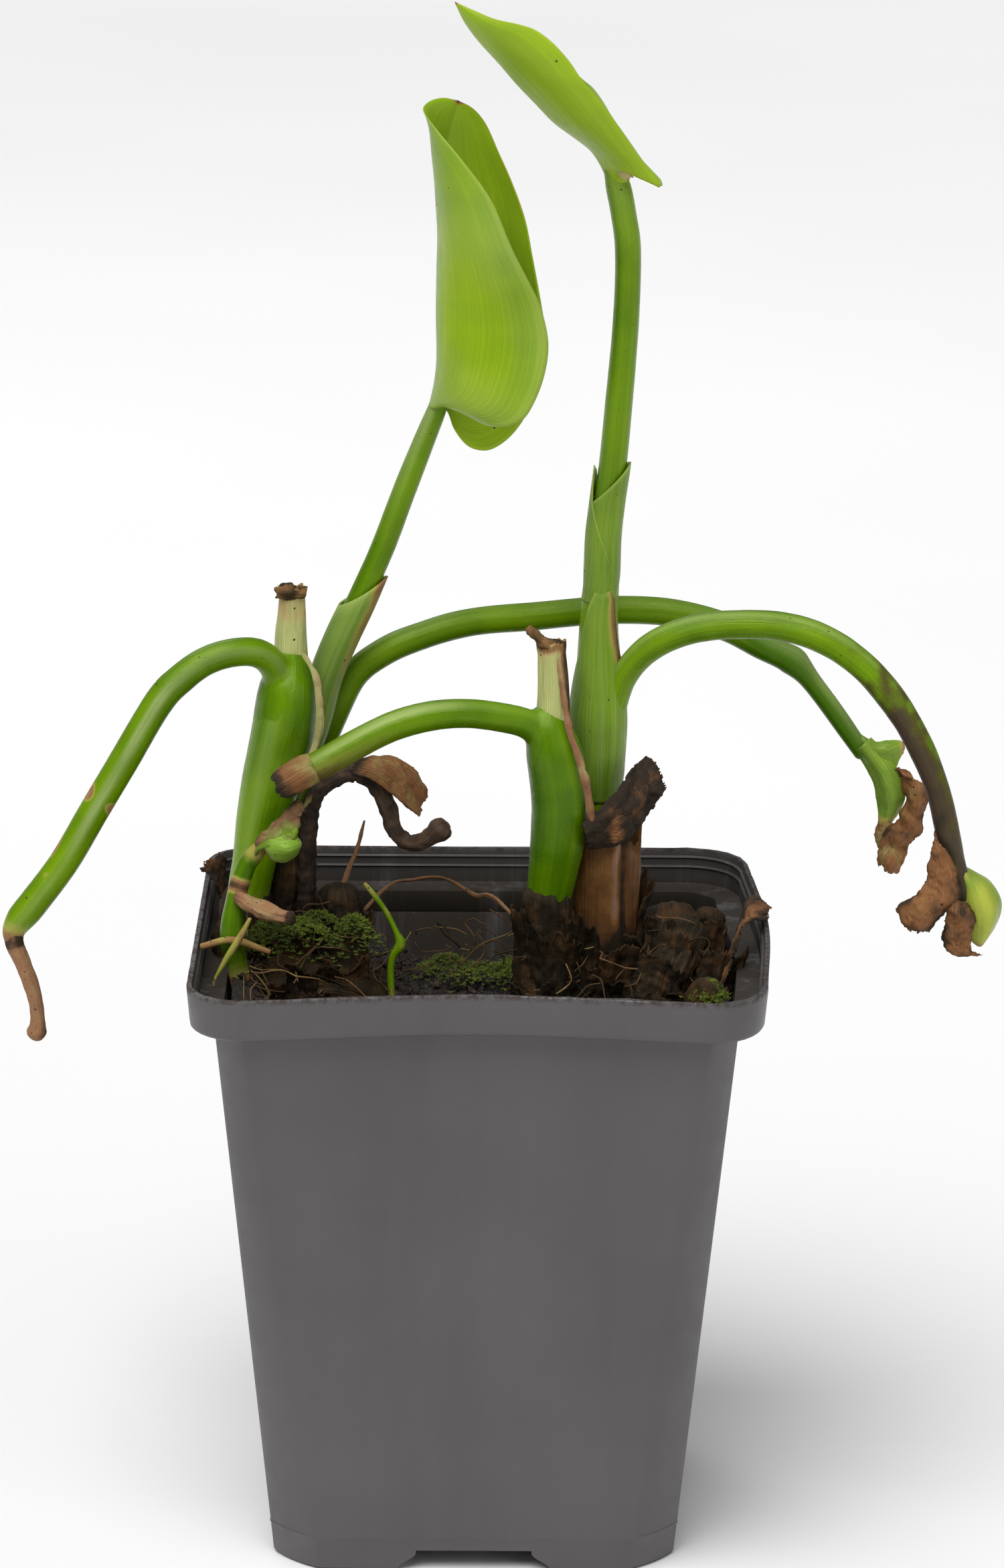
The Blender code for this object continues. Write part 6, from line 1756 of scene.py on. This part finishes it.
class PICKERELWEED_OT_dead_leaves(Operator):
    """Make the dried stalks, crumpled leaves and papery edges"""

    bl_idname = "pickerelweed.make_dead_leaves"
    bl_label = "Make Dead Leaves"

    def execute(self, context):
        plant = context.scene.pickerelweed_plant
        dead = tissue_material(
            "dead_tissue", (0.06, 0.13, 0.005), (0.2, 0.34, 0.015), fineness=6.0, vein_depth=0.3, roughness=0.36,
            dry=(0.26, 0.11, 0.04), dark=(0.022, 0.013, 0.009), yellowed=(0.3, 0.22, 0.07), relief=0.6,
            unevenness=0.6, translucency=0.02, specks=0.25, spacing=1.6, streaks=0.22, shine=(1, 0.9, 0.7),
        )
        paper = tissue_material(
            "papery_edge", (0.3, 0.32, 0.1), (0.5, 0.46, 0.2), fineness=8.0, vein_depth=0.25, roughness=0.5,
            yellowed=(0.46, 0.36, 0.17), dry=(0.3, 0.14, 0.075), dark=(0.06, 0.03, 0.02), relief=0.5, translucency=0.1,
            streaks=0.1,
        )
        sheets = (
            ("back_dry_leaf", "back_dry_blade", ((BACK_DRY_BLADE, 0.52, 1.3), (BACK_OLIVE_FOLD, 0.3, 0.5)), 0.05),
            ("rim_leaf_left_dry", "rim_leaf_left", ((RIM_LEAF_LEFT, 0.85, 0.7),), 0.12),
            ("rim_leaf_right_dry", "rim_leaf_right", ((RIM_LEAF_RIGHT, 0.76, 0.8),), 0.12),
            ("dark_leaf_curl", "dark_curled_leaf", ((DARK_CURLED_LEAF, 0.98, 1.1),), 0.04),
            ("right_dry_leaf", "right_dry_blade", ((RIGHT_DRY_BLADE, 0.62, 1.3), (RIGHT_DRY_SCRAP, 0.7, 1.4)), 0.07),
        )
        for k, (name, node, cages, tear) in enumerate(sheets):
            skin = Skin()
            for n, (cage, decay, depth) in enumerate(cages):
                skin.shell(crumpled(cage, 70, 50, depth, k + n + 1.0), 0.4, aged_paint(decay, 0.26, 4, k + n),
                           keep=lambda u, v: torn(u, v, tear, k + n + 0.5), fibres=8)
            piece(name, skin.mesh(name), dead, node)

        def veined(u, v, side, spot):
            ridge = abs(math.sin(math.pi * u * 13))
            edge = smoothstep(0.07, 0.0, min(u, 1 - u))
            dark = 0.35 * smoothstep(0.4, 0.0, ridge) + 0.3 * edge + 0.5 * smoothstep(0.25, 0.0, v)
            return 0.5, min(max(0.5 + dark + 0.15 * wave(spot, 3, 3), 0), 1)

        skin = Skin().shell(crumpled(DEAD_BLADE, 70, 78, 0.7, 4.0), 0.4, veined, fibres=8,
                            keep=lambda u, v: torn(u, v, 0.04, 5.0))
        piece("dead_blade_fold", skin.mesh("dead_blade_fold"), dead, "dead_blade")

        def spoon(u, v, side, spot):
            edge = smoothstep(0.3, 0.0, u) + 0.5 * smoothstep(0.15, 0.0, 1 - u)
            return 0.5, min(max(0.24 + 0.42 * edge + 0.3 * smoothstep(0.6, 1.0, v) + 0.3 * wave(spot, 3, 9), 0), 1)

        def cup(u, v, side, spot):
            edge = smoothstep(0.16, 0.0, min(u, 1 - u)) * 0.3
            return 0.9, edge + 0.4 * smoothstep(0.15, 0.0, v), 0.15

        half_dead = tissue_material(
            "half_dead_small_leaf", (0.07, 0.16, 0.004), (0.2, 0.36, 0.015), fineness=4.0, vein_depth=0.1,
            roughness=0.3, dry=(0.2, 0.1, 0.055), dark=(0.03, 0.018, 0.012), yellowed=(0.16, 0.17, 0.04), relief=0.3,
            unevenness=0.6, translucency=0.06, specks=0.3, spacing=1.2, streaks=0.1,
        )
        skin = Skin().shell(crumpled(SMALL_LEFT_LEAF, 60, 44, 0.9, 7.0, 2.4), 0.5, spoon, fibres=8,
                            keep=lambda u, v: torn(u, v, 0.03, 2.0))
        skin.shell(crumpled(GREEN_SPOON, 40, 30, 0.12, 8.0), 0.9, cup, fibres=5)
        piece("small_leaf_fold", skin.mesh("small_leaf_fold"), half_dead, "small_left_leaf")

        def lobe(u, v, side, spot):
            edge = smoothstep(0.14, 0.0, min(u, 1 - u))
            middle = smoothstep(0.45, 0.1, abs(u - 0.5)) * smoothstep(0.05, 0.3, v)
            return 0.35 + 0.65 * middle, keyed((0, 0.35), (0.12, 0.0), (0.85, 0.0), (1, 0.5))(v), 0.45 * edge + 0.2

        glossy = tissue_material(
            "glossy_lobe", (0.1, 0.22, 0.01), (0.42, 0.46, 0.04), fineness=5.0, vein_depth=0.12, roughness=0.26,
            dry=(0.26, 0.11, 0.04), dark=plant.dark, relief=0.15, translucency=0.12, pale=plant.bloom_and_sheen, specks=0.1,
        )
        skin = Skin().shell(crumpled(RIGHT_GREEN_LOBE, 60, 44, 0.14, 8.0, 6.0), 1.1, lobe, fibres=8)
        piece("right_green_fold", skin.mesh("right_green_fold"), glossy, "right_green_lobe")

        tan = tissue_material(
            "tan_dry_stalk", (0.1, 0.12, 0.02), (0.25, 0.2, 0.06), fineness=4.0, vein_depth=0.1, roughness=0.4,
            dry=(0.34, 0.17, 0.085), dark=(0.035, 0.018, 0.011), yellowed=(0.36, 0.22, 0.1), relief=0.6,
            unevenness=0.55, translucency=0.02, specks=0.9, spacing=0.9, streaks=0.15, shine=(1, 0.9, 0.7),
        )
        wrinkled = tissue_material(
            "wrinkled_dead_stalk", (0.1, 0.07, 0.04), (0.2, 0.14, 0.08), fineness=3.0, vein_depth=0.0, roughness=0.4,
            dry=(0.1, 0.06, 0.038), dark=(0.022, 0.014, 0.011), yellowed=(0.19, 0.11, 0.065), relief=0.9,
            unevenness=0.6, translucency=0.0, specks=0.5, spacing=1.0, streaks=0.0, shine=(1, 0.9, 0.75),
        )

        def ringed(share, angle, spot):
            ring = noise.noise(Vector((share * 48, 1.5 * math.cos(angle), 1.5 * math.sin(angle))))
            wart = max(0, wave(spot, 1.8, 6) - 0.3)
            flare = 0.25 * smoothstep(0.94, 1.0, share)
            return 1.02 + 0.2 * ring + 0.5 * wart + 0.1 * around_noise(angle, 3, share * 5) + flare

        def pitted(share, angle, spot):
            blob = 0.22 * smoothstep(0.8, 0.95, share) * wave(spot, 2.2, 4)
            return 1 + 0.1 * around_noise(angle, 2.5, share * 6) + 0.05 * wave(spot, 1.5, 3) + blob

        tubes = (
            ("left_dry_tip", "left_dry_end", LEFT_DRY_END, pitted,
             keyed((0, 0.9), (0.1, 0.85), (0.14, 0.46), (0.75, 0.5), (0.86, 0.62), (1, 0.7)), tan),
            ("dead_wrinkled_stalk", "dead_stalk", DEAD_STALK, ringed,
             keyed((0, 0.95), (0.5, 0.85), (0.8, 0.72), (0.96, 0.66), (1, 0.56)), wrinkled),
            ("bent_dry_tip", "bent_dry_end", BENT_DRY_END, fibrous(0.3, 5, 4.0),
             keyed((0, 0.75), (0.2, 0.4), (0.9, 0.5), (0.96, 0.95)), tan),
            ("thin_dry_twig", "thin_dry_stem", THIN_DRY_STEM, fibrous(0.5, 3, 5.0), keyed((0, 0.7), (1, 0.5)), tan),
            ("long_fine_root", "long_root", LONG_ROOT, fibrous(0.4, 3, 6.0), keyed((0, 0.6), (1, 0.62)), tan),
        )
        for k, (name, node, route, shape, decay, material) in enumerate(tubes):
            def aged(share, angle, spot):
                return 0.5, min(max(decay(share) + 0.16 * wave(spot, 2.5, k), 0), 1)

            skin = Skin().tube(route, aged, around=28, step=0.3, shape=shape)
            piece(name, skin.mesh(name), material, node)

        def cap(u, v, side, spot):
            return 0.3, min(max(0.22 + 0.75 * v + 0.2 * wave(spot, 3, 2) + (0.2 if side < 0 else 0), 0), 1)

        def cap_width(angle, v):
            return 0.97 + 0.06 * smoothstep(0, 0.2, v) + 0.2 * v * around_noise(angle, 2, 2 * v)

        skin = Skin()
        sleeve(skin, FRONT_DRY_CAP, cap_width,
               lambda degrees: 0.9 + 0.1 * around_noise(math.radians(degrees), 1.5, 4)
               + 0.06 * around_noise(math.radians(degrees), 7, 4), cap, rows=50, cols=60, thickness=0.5)
        piece("front_torn_cap", skin.mesh("front_torn_cap"), dead, "front_dry_cap")

        bark = tissue_material(
            "woody_sheath", (0.2, 0.12, 0.08), (0.34, 0.19, 0.13), fineness=6.0, vein_depth=0.2, roughness=0.34,
            yellowed=(0.2, 0.09, 0.025), dry=(0.11, 0.043, 0.012), dark=(0.012, 0.008, 0.005), relief=0.35,
            unevenness=0.4, translucency=0.04, specks=0.15, streaks=0.12, shine=(1, 0.85, 0.6),
        )

        def woody(u, v, side, spot):
            seam = smoothstep(0.045, 0.015, abs(u - 0.075 - 0.012 * wave(spot, 6, 2)))
            pale = smoothstep(0.022, 0.006, abs(u - 0.05 - 0.01 * wave(spot, 5, 6)))
            lift = 0.42 + 0.12 * around_noise(TAU * u, 5, v) + 0.5 * smoothstep(0.45, 0.0, v) + 0.45 * seam
            lift += 0.2 * smoothstep(0.9, 1, v) + 0.2 * wave(spot, 5, 4)
            return 0.6, min(max(lift, 0), 1) * (1 - 0.9 * pale * smoothstep(0.1, 0.35, v)), 0.0

        def sheath_width(angle, v):
            return 1.0 + 0.07 * around_noise(angle, 5, v) + 0.05 * around_noise(angle, 2, 3 * v)

        skin = Skin()
        sleeve(skin, BROWN_SHEATH, sheath_width,
               lambda degrees: 0.9 + 0.14 * around_noise(math.radians(degrees), 1.2, 9)
               + 0.04 * around_noise(math.radians(degrees), 8, 9), woody, thickness=0.6, cols=80)
        piece("woody_wrap", skin.mesh("woody_wrap"), bark, "brown_sheath")

        for k, (name, cage, decay) in enumerate((
            ("left_paper_edge", LEFT_MEMBRANE, 0.15), ("front_paper_edge", FRONT_MEMBRANE, 0.5),
            ("leaf_two_dry_collar", LEAF_TWO_COLLAR, 0.4),
        )):
            def papery(u, v, side, spot):
                return 0.4 + 0.6 * u, min(max(decay + 0.25 * (u > 0.8) + 0.3 * wave(spot, 4, k), 0), 1)

            skin = Skin().shell(crumpled(cage, 90, 16, 0.3, k + 12.0, 2.5), 0.2, papery,
                                keep=lambda u, v: u < 0.84 + 0.3 * noise.noise(Vector((v * 14, k, 0))), fibres=5)
            piece(name, skin.mesh(name), paper)
        return {"FINISHED"}


class PICKERELWEED_OT_small_growth(Operator):
    """Make the small green stems, the moss cushions and the loose fibres"""

    bl_idname = "pickerelweed.make_small_growth"
    bl_label = "Make Moss And Fibres"

    def execute(self, context):
        plant = context.scene.pickerelweed_plant
        ground = context.scene.pickerelweed_ground
        fresh = stalk_finish(plant, "small_green_growth", roughness=0.4, specks=0.5)
        moss = moss_material(ground)
        for name, node, route, decay in (
            ("small_green_shoot", "small_green_stem", SMALL_GREEN_STEM, keyed((0, 0.5), (0.12, 0.05), (1, 0.0))),
            ("moss_covered_stick", "mossy_stick", MOSSY_STICK, keyed((0, 0.4), (1, 0.5))),
            ("yellow_grass_blade", "yellow_blade", YELLOW_BLADE, keyed((0, 0.35), (1, 0.3))),
        ):
            def paint(share, angle, spot):
                return 0.6, min(max(decay(share) + 0.25 * wave(spot, 3, 1), 0), 1)

            stalk(name, node, route, paint, fresh, around=14, step=0.4, shape=dented(0.3, 3))
        rng = random.Random(23)
        cushions = (
            ("left_moss_cushion", [(-35, -9, 9, 5), (-31, -4, 7, 5), (-41, -10, 5, 3), (-24, -6, 5, 3)], (116, 124)),
            ("middle_moss_cushion", [(1, 10, 9, 7), (8, 14, 6, 6), (-6, 16, 6, 5)], (105, 109)),
            ("stump_moss_cushion", [(44.6, -28.6, 3, 3)], (114, 117.5)),
        )
        for name, beds, (low, high) in cushions:
            skin = Skin()
            for at_x, at_y, wide, deep in beds:
                for _ in range(ground.moss_tufts // len(beds)):
                    x, y = rng.gauss(at_x, wide / 2.2), rng.gauss(at_y, deep / 2.2)
                    far = ((x - at_x) / wide) ** 2 + ((y - at_y) / deep) ** 2
                    top = low + (high - low) * math.exp(-far)
                    spot = place(x, y, max(top - 1.5 * rng.random(), soil_top(x, y)))
                    for _ in range(12):
                        lean = Vector((rng.gauss(0, 0.7), rng.gauss(0, 0.7), rng.uniform(0.2, 1.0))).normalized()
                        skin.spike(spot, spot + lean * rng.uniform(0.35, 1.0) * MM, 0.08, rng.uniform(0.1, 1.0))
            piece(name, skin.mesh(name), moss)
        roots = Skin()
        for _ in range(230):
            x, y = rng.choice(((-36, -6), (-28, 0), (-40, 8), (16, -8), (24, -4), (38, -2), (44, 4), (0, 8),
                               (-46, -14), (-46, 10)))
            x, y = x + rng.gauss(0, 6), y + rng.gauss(0, 5)
            x, y = max(min(x, 44), -44), max(min(y, 42), -38)
            z = max(soil_top(x, y), rng.uniform(106, 120))
            heading = Vector((rng.gauss(0, 1), rng.gauss(0, 1), rng.gauss(0, 0.5))).normalized()
            route = []
            for _ in range(rng.randint(4, 8)):
                route.append((x, y, z, rng.uniform(0.08, 0.2)))
                drift = Vector((rng.gauss(0, 1), rng.gauss(0, 1), rng.gauss(-0.3, 0.6)))
                heading = (heading + 0.6 * drift).normalized()
                x, y = max(min(x + heading.x * 2.4, 45), -45), max(min(y + heading.y * 2.4, 43), -40)
                z = max(z + heading.z * 2.2, soil_top(x, y) + 0.2)
            shade = rng.uniform(0.45, 0.95)
            roots.tube(route, lambda share, angle, spot: (0.5, shade), around=5, step=1.0)
        material = tissue_material("fine_roots", (0.1, 0.06, 0.03), (0.3, 0.17, 0.09), roughness=0.5, relief=0.1,
                                   dry=(0.16, 0.08, 0.04), dark=(0.015, 0.01, 0.008), translucency=0.0)
        piece("fine_root_tangle", roots.mesh("fine_root_tangle"), material)
        return {"FINISHED"}


class PICKERELWEED_OT_stage(Operator):
    """Set the floor, the soft lights and the camera"""

    bl_idname = "pickerelweed.set_stage"
    bl_label = "Set Stage"

    def execute(self, context):
        settings = context.scene.pickerelweed_stage
        scene = context.scene
        mesh = bpy.data.meshes.new("studio_floor")
        reach = 6.0
        corners = [(-reach, -reach, 0), (reach, -reach, 0), (reach, reach, 0), (-reach, reach, 0)]
        mesh.from_pydata(corners, [], [(0, 1, 2, 3)])
        floor = bpy.data.objects.new("studio_floor", mesh)
        scene.collection.objects.link(floor)
        material, wiring, shader = blank_material("pale_floor")
        patches = wiring.group(group_named("uneven_patches"), Size=400.0)
        lighter = [min(c * 1.02, 1) for c in settings.floor]
        wiring.feed(shader["Base Color"], wiring.mix(patches["Patches"], rgba(settings.floor), rgba(lighter)))
        shader["Roughness"].default_value = 0.9
        mesh.materials.append(material)

        world = bpy.data.worlds.new("soft_studio")
        scene.world = world
        world.use_nodes = True
        background = world.node_tree.nodes["Background"].inputs
        background["Color"].default_value = (1.0, 1.0, 1.0, 1.0)
        background["Strength"].default_value = 0.2
        sky = bpy.data.lights.new("overhead_light", "SUN")
        sky.energy = settings.key_power
        sky.angle = math.radians(50)
        lamp = bpy.data.objects.new("overhead_light", sky)
        lamp.rotation_euler = Vector((0.22, 0.5, -1.0)).to_track_quat("-Z", "Y").to_euler()
        scene.collection.objects.link(lamp)
        for name, spot, size, power in (
            ("fill_light", (0.9, -1.0, 0.7), 0.8, settings.fill_power),
            ("back_light", (-0.5, 1.1, 1.1), 0.7, settings.fill_power),
        ):
            light = bpy.data.lights.new(name, "AREA")
            light.shape = "SQUARE"
            light.size = size
            light.energy = power
            lamp = bpy.data.objects.new(name, light)
            lamp.location = spot
            aim = Vector((0, 0, 0.15)) - lamp.location
            lamp.rotation_euler = aim.to_track_quat("-Z", "Y").to_euler()
            scene.collection.objects.link(lamp)

        camera = bpy.data.cameras.new("product_camera")
        camera.sensor_fit = "VERTICAL"
        camera.sensor_height = 36.0
        camera.lens = settings.lens
        camera.clip_end = 20.0
        view = bpy.data.objects.new("product_camera", camera)
        scene.collection.objects.link(view)
        turn, tilt, roll = math.radians(-0.30), math.radians(14.9), math.radians(0.38)
        back = Vector((math.sin(turn) * math.cos(tilt), -math.cos(turn) * math.cos(tilt), math.sin(tilt)))
        right = Vector((math.cos(turn), math.sin(turn), 0))
        up = back.cross(right)
        right, up = math.cos(roll) * right + math.sin(roll) * up, math.cos(roll) * up - math.sin(roll) * right
        pose = Matrix((right, up, back)).transposed().to_4x4()
        pose.translation = place(4.74, 0, 148.57) + back * 1107.65 * MM
        view.matrix_world = pose
        scene.camera = view
        scene.view_settings.view_transform = "Standard"
        scene.view_settings.look = "None"
        return {"FINISHED"}


class PICKERELWEED_PT_build(Panel):
    """Lists the pieces and their settings"""

    bl_label = "Potted Pickerelweed"
    bl_space_type = "VIEW_3D"
    bl_region_type = "UI"
    bl_category = "Pickerelweed"

    def draw(self, context):
        for made in STEPS:
            self.layout.operator(made.bl_idname)
        for name, kind in SETTINGS.items():
            box = self.layout.box()
            for prop in kind.__annotations__:
                box.prop(getattr(context.scene, name), prop)


SETTINGS = {
    "pickerelweed_pot": PotSettings, "pickerelweed_ground": GroundSettings,
    "pickerelweed_plant": PlantSettings, "pickerelweed_stage": StageSettings,
}
STEPS = (
    PICKERELWEED_OT_stage, PICKERELWEED_OT_pot, PICKERELWEED_OT_soil, PICKERELWEED_OT_crowns,
    PICKERELWEED_OT_left_shoot, PICKERELWEED_OT_right_shoot, PICKERELWEED_OT_sheaths,
    PICKERELWEED_OT_young_leaves, PICKERELWEED_OT_dead_leaves, PICKERELWEED_OT_small_growth,
)


def register():
    for name, kind in SETTINGS.items():
        bpy.utils.register_class(kind)
        setattr(bpy.types.Scene, name, PointerProperty(type=kind))
    for kind in (*STEPS, PICKERELWEED_PT_build):
        bpy.utils.register_class(kind)


def unregister():
    for kind in reversed((*STEPS, PICKERELWEED_PT_build)):
        bpy.utils.unregister_class(kind)
    for name, kind in SETTINGS.items():
        delattr(bpy.types.Scene, name)
        bpy.utils.unregister_class(kind)


def main():
    register()
    bpy.ops.pickerelweed.set_stage()
    bpy.ops.pickerelweed.make_pot()
    bpy.ops.pickerelweed.make_soil()
    bpy.ops.pickerelweed.make_crowns()
    bpy.ops.pickerelweed.make_left_shoot()
    bpy.ops.pickerelweed.make_right_shoot()
    bpy.ops.pickerelweed.make_sheaths()
    bpy.ops.pickerelweed.make_young_leaves()
    bpy.ops.pickerelweed.make_dead_leaves()
    bpy.ops.pickerelweed.make_small_growth()
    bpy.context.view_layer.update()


if __name__ == "__main__":
    main()
